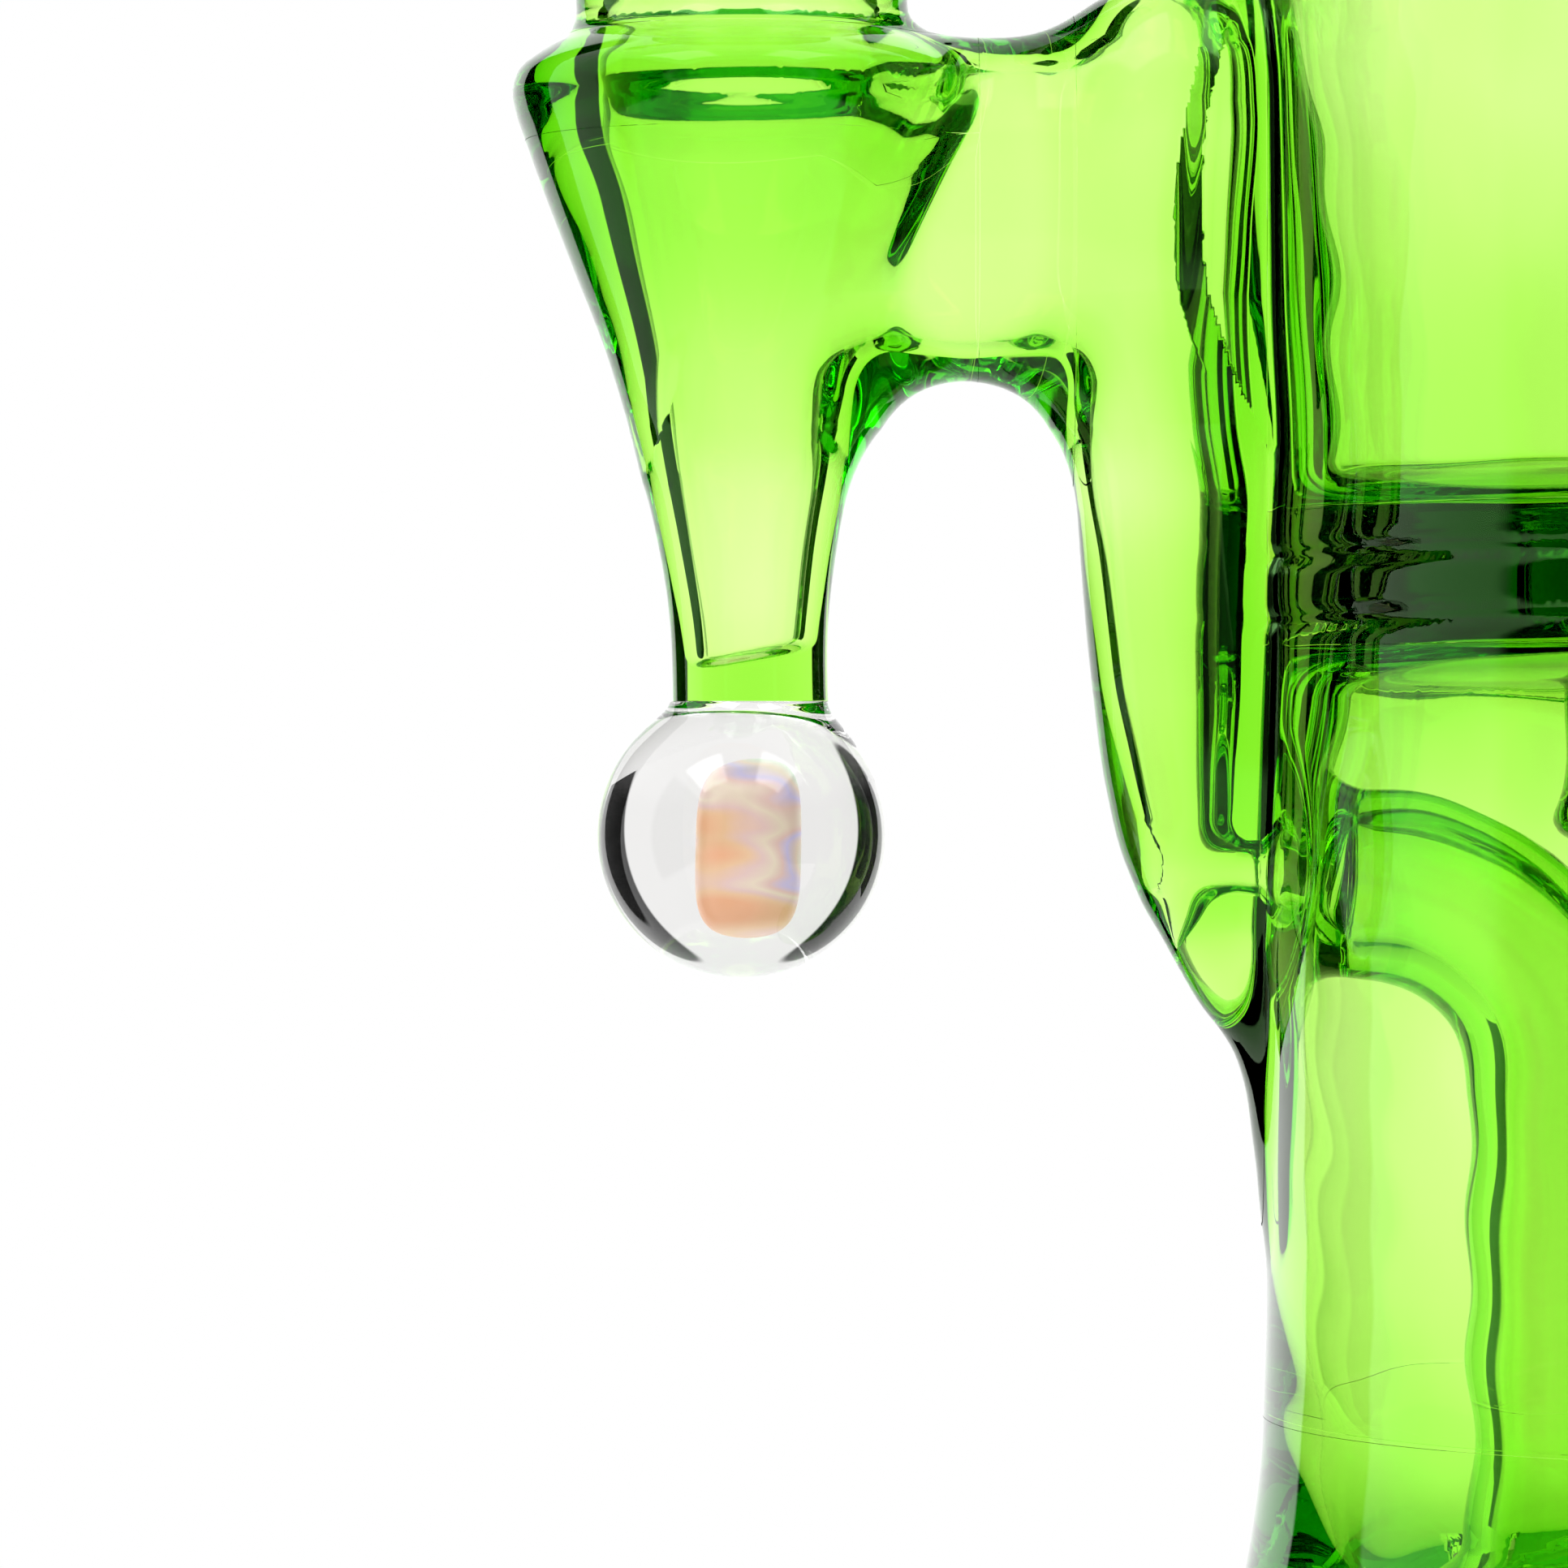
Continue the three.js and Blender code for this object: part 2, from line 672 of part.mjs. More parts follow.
const bellOuter = [
  [bellRadius, bellFoot],
  [bellRadius, bellFoot + 0.45 * bellHeight],
  [0.85 * bellRadius, bellFoot + 0.7 * bellHeight],
  [downcomerRadius + stemFlare + 0.3, bellTop],
  [downcomerRadius + stemFlare, stemFoot - weldGap],
];
const bellInner = [
  [bellRadius - downcomerWall, bellFoot],
  [bellRadius - downcomerWall, bellFoot + 0.35 * bellHeight],
  [0.85 * bellRadius - downcomerWall, bellFoot + 0.55 * bellHeight],
  [downcomerBore + stemFlare, bellTop - 0.15 * bellHeight],
  [downcomerBore + stemFlare, stemFoot - weldGap],
];
let bell = wallOf(bellOuter, bellInner, stemX);
for (let i = 0; i < slitCount; i++) {
  const slit = new THREE.BoxGeometry(bellRadius, slitWidth, 2 * slitHeight);
  slit.translate(bellRadius, 0, 0);
  slit.rotateZ(((i + 0.5) * 2 * Math.PI) / slitCount);
  slit.translate(stemX, 0, bellFoot);
  bell = bell.subtract(solidOf(slit));
}
add("diffuser_bell", bell);

let plate = uprightBar(bellRadius, plateFoot, plateFoot + plateThickness, stemX);
for (let i = 0; i < plateHoleCount; i++) {
  const angle = (i * 2 * Math.PI) / plateHoleCount;
  const x = stemX + 0.55 * bellRadius * Math.cos(angle);
  const y = 0.55 * bellRadius * Math.sin(angle);
  const hole = uprightBar(plateHoleRadius, 0, bellFoot, x, y, 10);
  plate = plate.subtract(hole);
}
add("diffuser_plate", plate);

// ---------------------------------------------------------------- risers
const riserFoot = dividerFoot - riserDrop;
riserPlaces.forEach(([x, y], i) => {
  const riser = wallOf(
    [
      [riserRadius - 0.3, riserFoot],
      [riserRadius + riserLip, riserFoot + 0.8],
      [riserRadius + riserLip, riserFoot + 2.6],
      [riserRadius, riserFoot + 4],
      [riserRadius, dividerTop],
    ],
    [
      [riserBore, riserFoot],
      [riserBore, dividerTop],
    ],
  );
  add(`riser_${i + 1}`, riser.translate([x, y, 0]));
});

// ---------------------------------------------------------------- bowl
const coneFoot = socketTop - coneDepth;
const coneRadiusAt = (z) => groundRadiusAt(z) - groundFit;
const coneBore = coneRadiusAt(coneFoot) - coneWall;
const coneOuter = [
  [coneRadiusAt(coneFoot) - 0.3, coneFoot],
  [coneRadiusAt(coneFoot + 0.4), coneFoot + 0.4],
  [coneRadiusAt(socketTop), socketTop],
];
const coneInner = [
  [coneBore, coneFoot],
  [coneBore, socketTop],
];
add("bowl_ground_cone", wallOf(coneOuter, coneInner, socketX));

const bowlRingTop = bowlSeat + bowlRingHeight;
const bowlRingOuter = [
  [collarRadius - 0.4, bowlSeat],
  [rimRadius, bowlSeat + 0.3 * bowlRingHeight],
  [rimRadius, bowlSeat + 0.7 * bowlRingHeight],
  [collarRadius - 0.8, bowlRingTop],
];
const bowlRingInner = [
  [coneBore, bowlSeat],
  [coneBore, bowlRingTop],
];
add("bowl_ring", wallOf(bowlRingOuter, bowlRingInner, socketX));

// The bowl opens from its neck to its rim; its floor has one hole, where the screen sits.
const bowlFoot = bowlRingTop + weldGap;
const bowlFloor = bowlFoot + bowlNeckHeight;
const bowlTop = bowlFloor + bowlDepth;
const bowlOuter = [
  [bowlNeckRadius, bowlFoot],
  [bowlNeckRadius, bowlFloor - 2],
  [0.62 * bowlRadius, bowlFloor + 0.12 * bowlDepth],
  [0.88 * bowlRadius, bowlFloor + 0.45 * bowlDepth],
  [bowlRadius, bowlFloor + 0.85 * bowlDepth],
  [bowlRadius - 0.2, bowlTop],
];
const bowlInner = [
  [coneBore, bowlFoot],
  [coneBore, bowlFloor - 2.4],
  [bowlHole, bowlFloor - 1.6],
  [bowlHole, bowlFloor],
  [screenRadius + 0.4, bowlFloor + 0.4],
  [0.85 * bowlRadius - bowlWall, bowlFloor + 0.45 * bowlDepth],
  [bowlRadius - bowlWall, bowlFloor + 0.85 * bowlDepth],
  [bowlRadius - bowlWall, bowlTop],
];
const bowlCup = wallOf(bowlOuter, bowlInner, socketX, roundSteps);
add("bowl_cup", bowlCup);

const screenFoot = bowlFloor + 0.7;
let screen = turned(
  [
    [0, screenFoot],
    [screenRadius, screenFoot],
    [screenRadius, screenFoot + screenThickness],
    [screenKnobRadius, screenFoot + screenThickness + 0.6],
    [screenKnobRadius, screenFoot + screenKnobHeight],
    [0, screenFoot + screenKnobHeight + 0.8],
  ],
  socketX,
);
for (let i = 0; i < screenHoleCount; i++) {
  const angle = (i * 2 * Math.PI) / screenHoleCount;
  const x = socketX + 0.66 * screenRadius * Math.cos(angle);
  const y = 0.66 * screenRadius * Math.sin(angle);
  screen = screen.subtract(uprightBar(screenHoleRadius, bowlFoot, bowlTop, x, y, 8));
}
add("bowl_screen", screen, glassClear);

// The horn is a bent rod with a ball on its end, fused to the bowl's outside on the -X side.
const bowlKeepOut = turned(
  [
    [0, bowlFoot],
    ...grown(bowlOuter, weldGap),
    [0, bowlTop],
  ],
  socketX,
  roundSteps,
);
const hornFoot = bowlFloor + 0.5 * bowlDepth;
const hornStart = socketX - 0.8 * bowlRadius;
const hornEnd = socketX - bowlRadius - hornReach;
const hornTop = hornFoot + hornRise;
const hornLine = new THREE.CatmullRomCurve3(
  [
    [hornStart, hornFoot],
    [hornStart - 0.4 * (hornStart - hornEnd), hornFoot - 0.1 * hornRise],
    [hornStart - 0.75 * (hornStart - hornEnd), hornFoot + 0.2 * hornRise],
    [hornEnd, hornTop],
  ].map(([x, z]) => new THREE.Vector3(x, 0, z)),
);
const hornBall = new THREE.SphereGeometry(hornBallRadius, 16, 10);
hornBall.rotateX(Math.PI / 2);
hornBall.translate(hornEnd, 0, hornTop);
const horn = barAlong(hornLine, hornRadius, 10, 14).subtract(bowlKeepOut);
add("bowl_horn", horn.add(solidOf(hornBall)));

export default group;
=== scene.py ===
import math

import bmesh
import bpy
import numpy as np
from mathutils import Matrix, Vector
from mathutils.geometry import delaunay_2d_cdt


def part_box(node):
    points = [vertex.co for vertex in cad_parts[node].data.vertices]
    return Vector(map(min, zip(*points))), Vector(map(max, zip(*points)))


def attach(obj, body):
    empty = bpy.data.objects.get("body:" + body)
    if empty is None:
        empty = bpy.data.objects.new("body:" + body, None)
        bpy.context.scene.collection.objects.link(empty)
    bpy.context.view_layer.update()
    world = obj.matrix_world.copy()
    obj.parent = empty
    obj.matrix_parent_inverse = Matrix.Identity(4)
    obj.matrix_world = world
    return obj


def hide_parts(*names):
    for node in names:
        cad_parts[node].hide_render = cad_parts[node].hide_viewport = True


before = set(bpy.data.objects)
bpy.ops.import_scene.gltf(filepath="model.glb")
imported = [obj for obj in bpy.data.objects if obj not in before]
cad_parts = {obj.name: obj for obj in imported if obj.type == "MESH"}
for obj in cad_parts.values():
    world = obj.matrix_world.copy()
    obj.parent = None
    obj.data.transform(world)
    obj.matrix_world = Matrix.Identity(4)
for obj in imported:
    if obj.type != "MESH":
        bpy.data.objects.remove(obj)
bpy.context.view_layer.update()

# ---------------------------------------------------------------- the can
# The can is one blown borosilicate tube, about 3 mm thick, on a thick solid foot that flares out under it.
# It was drawn on a lathe over a flame, so its walls run in slow waves. A thick disc is fused across its
# middle, and leaves a soft fillet against the wall on both sides. All outlines are rows of height and
# radius in mm, and every shape is given by how far a point lies outside it.
MM = 0.001


def sides(node):
    low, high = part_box(node)
    return np.array(low) / MM, np.array(high) / MM


def through(t, rows):
    """A smooth curve through rows of (place, value), and its slope."""
    place, value = np.array(rows, float).T
    slope = np.gradient(value, place)
    i = np.clip(np.searchsorted(place, t) - 1, 0, len(place) - 2)
    span = place[i + 1] - place[i]
    u = np.clip((t - place[i]) / span, 0, 1)
    a, b = value[i], value[i + 1]
    m, n = slope[i] * span, slope[i + 1] * span
    rise = b - a
    c = 3 * rise - 2 * m - n
    d = m + n - 2 * rise
    curve = a + u * (m + u * (c + u * d))
    inside = (t > place[0]) & (t < place[-1])
    return curve, np.where(inside, (m + u * (2 * c + 3 * u * d)) / span, 0.0)


def turned(distance, height, rows):
    """How far a point is outside a round section whose radius follows the rows."""
    radius, slope = through(height, rows)
    return (distance - radius) / np.sqrt(1 + slope * slope)


def joined(a, b, fillet):
    """Two shapes fused, with a fillet between them."""
    h = np.clip(0.5 + 0.5 * (b - a) / fillet, 0, 1)
    return b + (a - b) * h - fillet * h * (1 - h)


def common(a, b, fillet):
    return -joined(-a, -b, fillet)


foot_high = sides("foot")[1]
can_low, can_high = sides("lower_chamber")
disc_low, disc_high = sides("divider")
shoulder_low, shoulder_high = sides("shoulder")
can_radius = can_high[0]
foot_radius = foot_high[0]
disc_bottom = disc_low[2] + 0.2
disc_top = disc_high[2] - 1.2
neck_radius = 12.5
neck_bore = 9.9

CAN_OUTSIDE = [
    (-4, foot_radius - 0.5),
    (1.5, foot_radius - 0.1),
    (4, foot_radius - 0.3),
    (7, foot_radius - 2.0),
    (11, can_radius + 3.6),
    (16, can_radius + 1.5),
    (22, can_radius + 0.35),
    (28, can_radius),
    (40, can_radius - 0.1),
    (60, can_radius - 0.05),
    (67.5, can_radius - 0.2),
    (72, can_radius - 0.4),
    (77, can_radius - 0.8),
    (84, can_radius - 0.6),
    (95, can_radius - 0.4),
    (108, can_radius - 0.1),
    (112, can_radius - 0.2),
    (116, can_radius - 1.6),
    (121, can_radius - 5.6),
    (126, can_radius - 10.6),
    (131, neck_radius + 2.2),
    (135, neck_radius + 0.4),
    (138, neck_radius),
    (142, neck_radius),
]
CHAMBER_WALL = [
    (0, can_radius - 3.3),
    (12, can_radius - 3.2),
    (26, can_radius - 2.7),
    (34, can_radius - 2.3),
    (45, can_radius - 1.9),
    (58, can_radius - 2.4),
    (68, can_radius - 3.6),
    (80, can_radius - 3.8),
    (90, can_radius - 2.9),
    (102, can_radius - 2.0),
    (112, can_radius - 2.3),
    (116, can_radius - 3.8),
    (121, can_radius - 8.0),
    (126, can_radius - 13.2),
    (131, neck_bore + 2.0),
    (135, neck_bore + 0.3),
    (138, neck_bore),
    (142, neck_bore),
]
GROOVES = [(disc_low[2] + 1.2, 0.30), (disc_low[2] + 4.6, 0.34)]  # where the disc's rim was rolled in


def wave(x, y, z):
    """The slow unevenness of glass worked by hand, in mm."""
    long_wave = 0.07 * np.sin(0.21 * x + 0.17 * y + 1.3) * np.sin(0.27 * z - 0.13 * y + 2.0)
    return long_wave + 0.03 * np.sin(0.53 * z + 0.41 * x) * np.sin(0.37 * y - 0.3 * z + 0.7)


def can_outside(x, y, z):
    r = np.hypot(x, y)
    shape = turned(r, z, CAN_OUTSIDE)
    for height, depth in GROOVES:
        shape = shape + depth * np.exp(-(((z - height) / 0.55) ** 2))
    return common(shape, -z, 1.6) + 0.5 * wave(y, x, z)


def lower_room(x, y, z):
    r = np.hypot(x, y)
    room = common(turned(r, z, CHAMBER_WALL), foot_high[2] + 0.3 - z, 3.5)
    return common(room, z - disc_bottom, 3.0) + wave(x, y, z)


def upper_room(x, y, z):
    r = np.hypot(x, y)
    return common(turned(r, z, CHAMBER_WALL), disc_top - z, 3.4) + wave(x, y, z)


# ---------------------------------------------------------------- risers
# Three short glass tubes stand through the disc and let water up from the lower chamber to the upper one.
# Their lower ends are fire polished and roll out a little.
RISERS = [[0.5 * (low + high) for low, high in zip(*sides(f"riser_{i}"))] for i in (1, 2, 3)]
riser_low, riser_high = sides("riser_1")
RISER_OUTSIDE = [
    (riser_low[2] - 1.5, 3.5),
    (riser_low[2], 4.4),
    (riser_low[2] + 1.2, 5.2),
    (riser_low[2] + 3, 5.0),
    (riser_low[2] + 5, 4.8),
    (riser_high[2] + 4, 4.8),
]
RISER_BORE = [
    (riser_low[2] - 3, 3.6),
    (riser_low[2], 3.4),
    (riser_low[2] + 2, 3.1),
    (riser_high[2] + 2, 3.1),
]


def riser_outside(x, y, z, place):
    tube = turned(np.hypot(x - place[0], y - place[1]), z, RISER_OUTSIDE)
    return common(tube, riser_low[2] - z, 1.0)


def riser_bore(x, y, z, place):
    tube = turned(np.hypot(x - place[0], y - place[1]), z, RISER_BORE)
    return np.maximum(tube, np.maximum(riser_low[2] - 2 - z, z - riser_high[2] - 2))


# ---------------------------------------------------------------- socket column
# The socket is a plain collar over a rolled ring. Under the ring the tube was pulled down to a long hollow
# cup that ends in a short solid green tip, and the marble hangs from the tip.
socket_low, socket_high = sides("socket_collar")
ring_low, ring_high = sides("socket_ring")
tip_low, tip_high = sides("cup_tip")
socket_x = 0.5 * (socket_low[0] + socket_high[0])
socket_mouth = socket_high[2]
seam = tip_low[2]

COLUMN_OUTSIDE = [
    (seam - 3, 4.3),
    (seam, 4.2),
    (69.4, 4.32),
    (73.8, 4.97),
    (78.2, 6.0),
    (83.0, 7.35),
    (88.2, 9.25),
    (92.4, 10.8),
    (95.2, 11.75),
    (96.5, 12.2),
    (97.9, 12.4),
    (99.1, 11.9),
    (100.0, 10.7),
    (100.7, 9.5),
    (101.4, 9.08),
    (103, 9.0),
    (116.8, 9.0),
    (117.6, 9.5),
    (118.6, 10.15),
    (119.6, 9.9),
    (120.4, 9.4),
]
COLUMN_BORE = [
    (seam - 2, 2.2),
    (66.7, 2.4),
    (72.0, 2.95),
    (78.2, 3.9),
    (85.2, 5.1),
    (91.7, 6.4),
    (95.7, 7.5),
    (98.5, 7.6),
    (101.5, 7.2),
    (104, 6.75),
    (106, 6.6),
    (120, 7.3),
    (122, 7.4),
]


def column_centre(z):
    """The cup's lower end hangs a little nearer the can than its mouth does."""
    return socket_x + 0.45 * np.clip((96 - z) / 30, 0, 1.1)


def column_outside(x, y, z):
    shape = turned(np.hypot(x - column_centre(z), y), z, COLUMN_OUTSIDE)
    return common(common(shape, z - socket_mouth, 1.0), seam - 2 - z, 0.5) + 0.4 * wave(y, x, z)


def column_bore(x, y, z):
    off = x - column_centre(z)
    floor = tip_high[2] + 0.25 + 0.22 * off
    return common(turned(np.hypot(off, y), z, COLUMN_BORE), floor - z, 1.0) + 0.8 * wave(x, y, z)


# ---------------------------------------------------------------- side tube and bridge
# A tapered tube, closed at both ends, is welded down the can's side. A wide flattened tube bridges from it
# to the cup. The welds are worked until they flow into wide fillets.
bridge_low, bridge_high = sides("bridge")
bridge_height = 0.5 * (bridge_low[2] + bridge_high[2])
side_low = sides("side_tube")[0]

SIDE_OUTSIDE = [
    (33, -1.5),
    (36, 1.2),
    (40, 2.3),
    (44.2, 2.6),
    (47, 2.55),
    (49, 2.45),
    (50.5, 2.6),
    (52.3, 3.1),
    (54, 3.9),
    (56, 4.7),
    (60, 5.5),
    (65.4, 5.9),
    (75.9, 5.8),
    (85, 5.9),
    (95, 6.0),
    (99.5, 5.7),
    (102.5, 4.3),
    (104.3, 2.2),
    (105.2, 0),
    (106.5, -3),
]
SIDE_CENTRE = [  # height, and the place of the tube's middle along X
    (36, -27.4),
    (41, -27.7),
    (44.2, -28.3),
    (45.8, -29.0),
    (47.1, -29.9),
    (48.4, -31.0),
    (50.5, -32.1),
    (52.3, -32.6),
    (56, -32.8),
    (65.4, -33.4),
    (75.9, -34.4),
    (90, -34.4),
    (104, -34.2),
]
SIDE_BORE = [
    (49, -1.6),
    (51.6, 0),
    (54.3, 0.9),
    (56, 1.35),
    (58.4, 1.75),
    (61.4, 2.15),
    (65, 2.65),
    (68.5, 2.85),
    (72, 3.1),
    (75, 3.45),
    (80, 3.6),
    (90, 3.8),
    (97, 4.0),
    (100, 3.3),
    (102, 1.6),
    (102.8, 0),
    (104, -3),
]
SIDE_BORE_CENTRE = [  # the same for its bore, which lies off the middle
    (51, -34.2),
    (56, -33.8),
    (61.4, -34.2),
    (68.5, -34.75),
    (75, -35.3),
    (83, -35.9),
    (90, -35.6),
    (97, -35.1),
    (103, -35.0),
]


def side_outside(x, y, z):
    centre, _ = through(z, SIDE_CENTRE)
    return turned(np.hypot(x - centre, y), z, SIDE_OUTSIDE) + 0.5 * wave(z, y, x)


def side_bore(x, y, z):
    centre, _ = through(z, SIDE_BORE_CENTRE)
    return turned(np.hypot(x - centre, y), z, SIDE_BORE) + wave(z, x, y)


def flattened(y, z, half_height, half_depth, height):
    """A level tube of oval section."""
    u = y / half_depth
    v = (z - height) / half_height
    round_ = np.hypot(u, v)
    steep = np.hypot(u / half_depth, v / half_height) / np.maximum(round_, 1e-6)
    return (round_ - 1) / np.maximum(steep, 1e-6)


def bridge_outside(x, y, z):
    shape = flattened(y, z, 9.3, 5.8, bridge_height + 0.2)
    ends = np.maximum(socket_x - x, x - (side_low[0] + 5))
    return np.maximum(shape, ends) + 0.6 * wave(x, z, y)


def bridge_bore(x, y, z):
    shape = flattened(y, z, 7.2, 3.7, bridge_height + 0.3)
    ends = np.maximum(socket_x - x, x - (side_low[0] + 4))
    return np.maximum(shape, ends) + 1.3 * wave(x, z, y)


# ---------------------------------------------------------------- downcomer and diffuser
# Smoke and water leave the side tube through the can's wall and go down a bent tube to a bell with slits
# at its foot. The tube is sealed into the wall with a flared ring of glass.
bend_low = sides("downcomer_bend")[0]
stem_low, stem_high = sides("downcomer_stem")
bell_low, bell_high = sides("diffuser_bell")
plate_low, plate_high = sides("diffuser_plate")
stem_x = 0.5 * (stem_low[0] + stem_high[0]) + 0.15
bend_radius = 11.3
bend_x = stem_x - bend_radius
bend_z = bend_low[2] + 3.1
bell_radius = 0.5 * (bell_high[0] - bell_low[0])


def along_bend(x, y, z):
    """The distance to the tube's middle line: in through the wall, round the bend and down."""
    run_z = bend_z + bend_radius + 0.09 * np.clip(bend_x - x, 0, 9)
    level = np.hypot(np.hypot(y, z - run_z), np.maximum(0, np.maximum(x - bend_x, -36 - x)))
    out = np.hypot(x - bend_x, z - bend_z)
    corner = (x > bend_x) & (z > bend_z)
    arc = np.where(corner, np.hypot(out - bend_radius, y), 1e3)
    drop = np.hypot(np.hypot(x - stem_x, y), np.maximum(0, z - bend_z))
    return np.minimum(np.minimum(level, arc), drop)


STEM_OUTSIDE = [
    (bell_low[2] - 4, bell_radius - 0.3),
    (bell_low[2], bell_radius - 0.1),
    (bell_low[2] + 2.5, bell_radius - 0.1),
    (bell_low[2] + 4.8, bell_radius - 1.9),
    (bell_high[2] - 1.2, 6.5),
    (bell_high[2] + 1, 5.9),
    (30, 5.6),
    (42, 5.5),
    (80, 5.5),
]
STEM_BORE = [
    (bell_low[2] - 1.5, bell_radius - 2.0),
    (bell_low[2] + 2.2, bell_radius - 1.9),
    (bell_low[2] + 4.2, bell_radius - 3.9),
    (bell_high[2] - 1.5, 4.9),
    (bell_high[2] + 1, 4.35),
    (30, 3.95),
    (42, 3.5),
    (80, 3.7),
]


def down_outside(x, y, z):
    shape = turned(along_bend(x, y, z), z, STEM_OUTSIDE)
    return common(shape, plate_low[2] - z, 1.2) + 0.15 * wave(z, x, y)


def down_bore(x, y, z):
    run = along_bend(x, y, z)
    # the bore narrows where it crosses the can's wall, to meet the side tube's own
    tight = 2.0 * np.clip((-25 - x) / 5, 0, 1) ** 1.5
    bore = common(turned(run, z, STEM_BORE) + tight, plate_high[2] - z, 1.2)
    bore = np.maximum(bore, -35 - x)
    turn = np.arctan2(y, x - stem_x)
    slits, off = 10, np.hypot(x - stem_x, y)
    across = np.abs(np.sin(0.5 * slits * turn)) * 2 / slits * off - 0.75
    slit = np.maximum(np.maximum(across, z - (bell_low[2] + 3.1)), plate_high[2] + 0.1 - z)
    slit = np.maximum(slit, 5.5 - off)
    return np.minimum(bore, slit) + 0.2 * wave(z, y, x)


# ---------------------------------------------------------------- blowing the vessel
# All of these sections are one piece of glass in the real vessel. Its skin is worked out as one shape,
# and each named section is a slice of it. The two faces of a slice are fused glass, so they show nothing.
CLOSE = 0.012  # half the gap between two slices, in mm


def glass(x, y, z):
    under = np.clip((86.5 - z) / 7, 0, 1)  # the welds flow wider under the bridge than over it
    arm = joined(bridge_outside(x, y, z), column_outside(x, y, z), 2.2 + 4.6 * under)
    arm = joined(arm, side_outside(x, y, z), 4.5 + 3.0 * under)
    body = joined(arm, can_outside(x, y, z), 2.4)
    draught = joined(column_bore(x, y, z), bridge_bore(x, y, z), 2.6)
    draught = joined(draught, side_bore(x, y, z), 2.6)
    pipe = down_bore(x, y, z)
    draught = joined(draught, pipe, 1.0)
    seal = 0.6 + 2.6 * np.clip((z - 42) / 8, 0, 1)
    room = common(lower_room(x, y, z), -down_outside(x, y, z), seal)
    top = upper_room(x, y, z)
    for place in RISERS:
        room = common(room, -riser_outside(x, y, z, place), 1.6)
        draught = np.minimum(draught, joined(riser_bore(x, y, z, place), top, 1.2))
    hollow = np.minimum(np.minimum(room, top), draught)
    return common(body, -hollow, 0.5)


def slope_of(solid, points, value=None):
    """The direction straight out of the glass at each point, and how fast the distance grows."""
    step = 0.03
    rows = []
    for axis in range(3):
        ahead = points.copy()
        ahead[:, axis] += step
        if value is None:
            behind = points.copy()
            behind[:, axis] -= step
            rows.append((solid(*ahead.T) - solid(*behind.T)) / (2 * step))
        else:
            rows.append((solid(*ahead.T) - value) / step)
    out = np.array(rows).T
    size = np.linalg.norm(out, axis=1, keepdims=True)
    return out / np.maximum(size, 1e-6), size[:, 0]


def measured(solid, axes, step):
    """The distance to the skin at every point of a grid, worked out in full only near the skin."""
    block = 4
    shape = [len(a) for a in axes]
    coarse = [np.minimum(np.arange(0, n, block) + 2, n - 1) for n in shape]
    x, y, z = np.meshgrid(*[a[i] for a, i in zip(axes, coarse)], indexing="ij")
    rough = solid(x.ravel(), y.ravel(), z.ravel()).reshape(x.shape)
    for axis in range(3):
        rough = np.repeat(rough, block, axis=axis)
    field = rough[: shape[0], : shape[1], : shape[2]].astype(np.float32)
    at = np.argwhere(np.abs(field) < 4.6 * step)
    for i in range(0, len(at), 200000):
        some = at[i : i + 200000]
        field[tuple(some.T)] = solid(*[a[some[:, k]] for k, a in enumerate(axes)])
    return field


def skin(solid, low, high, step):
    """The surface of a solid in a box, as points that lie on it and four-cornered faces."""
    axes = [np.arange(a - step, b + 1.5 * step, step) for a, b in zip(low, high)]
    field = measured(solid, axes, step)
    cells = tuple(n - 1 for n in field.shape)
    total = np.zeros((int(np.prod(cells)), 3))
    count = np.zeros(int(np.prod(cells)))
    edges = []
    for axis in range(3):
        near = [slice(None)] * 3
        far = [slice(None)] * 3
        near[axis] = slice(0, -1)
        far[axis] = slice(1, None)
        a, b = field[tuple(near)], field[tuple(far)]
        at = np.argwhere((a < 0) != (b < 0))
        va, vb = a[tuple(at.T)], b[tuple(at.T)]
        place = at.astype(float)
        place[:, axis] += va / (va - vb)
        others = [o for o in range(3) if o != axis]
        ids = []
        fits = np.ones(len(at), bool)
        for du, dv in ((1, 1), (0, 1), (0, 0), (1, 0)):
            cell = at.copy()
            cell[:, others[0]] -= du
            cell[:, others[1]] -= dv
            ok = np.all((cell >= 0) & (cell < np.array(cells)), axis=1)
            fits &= ok
            flat = np.where(ok, np.ravel_multi_index(np.clip(cell, 0, np.array(cells) - 1).T, cells), 0)
            np.add.at(total, flat[ok], place[ok])
            np.add.at(count, flat[ok], 1)
            ids.append(flat)
        quad = np.array(ids).T[fits]
        outward = (va < 0)[fits]
        if axis == 1:
            outward = ~outward
        quad[~outward] = quad[~outward][:, ::-1]
        edges.append(quad)
    quads = np.concatenate(edges)
    used, faces = np.unique(quads, return_inverse=True)
    faces = faces.reshape(quads.shape)
    origin = np.array([a[0] for a in axes])
    points = origin + step * total[used] / np.maximum(count[used], 1)[:, None]
    for _ in range(3):
        value = solid(*points.T)
        way, size = slope_of(solid, points, value)
        points -= way * np.clip(value / np.maximum(size, 0.3), -0.5 * step, 0.5 * step)[:, None]
    return points, faces


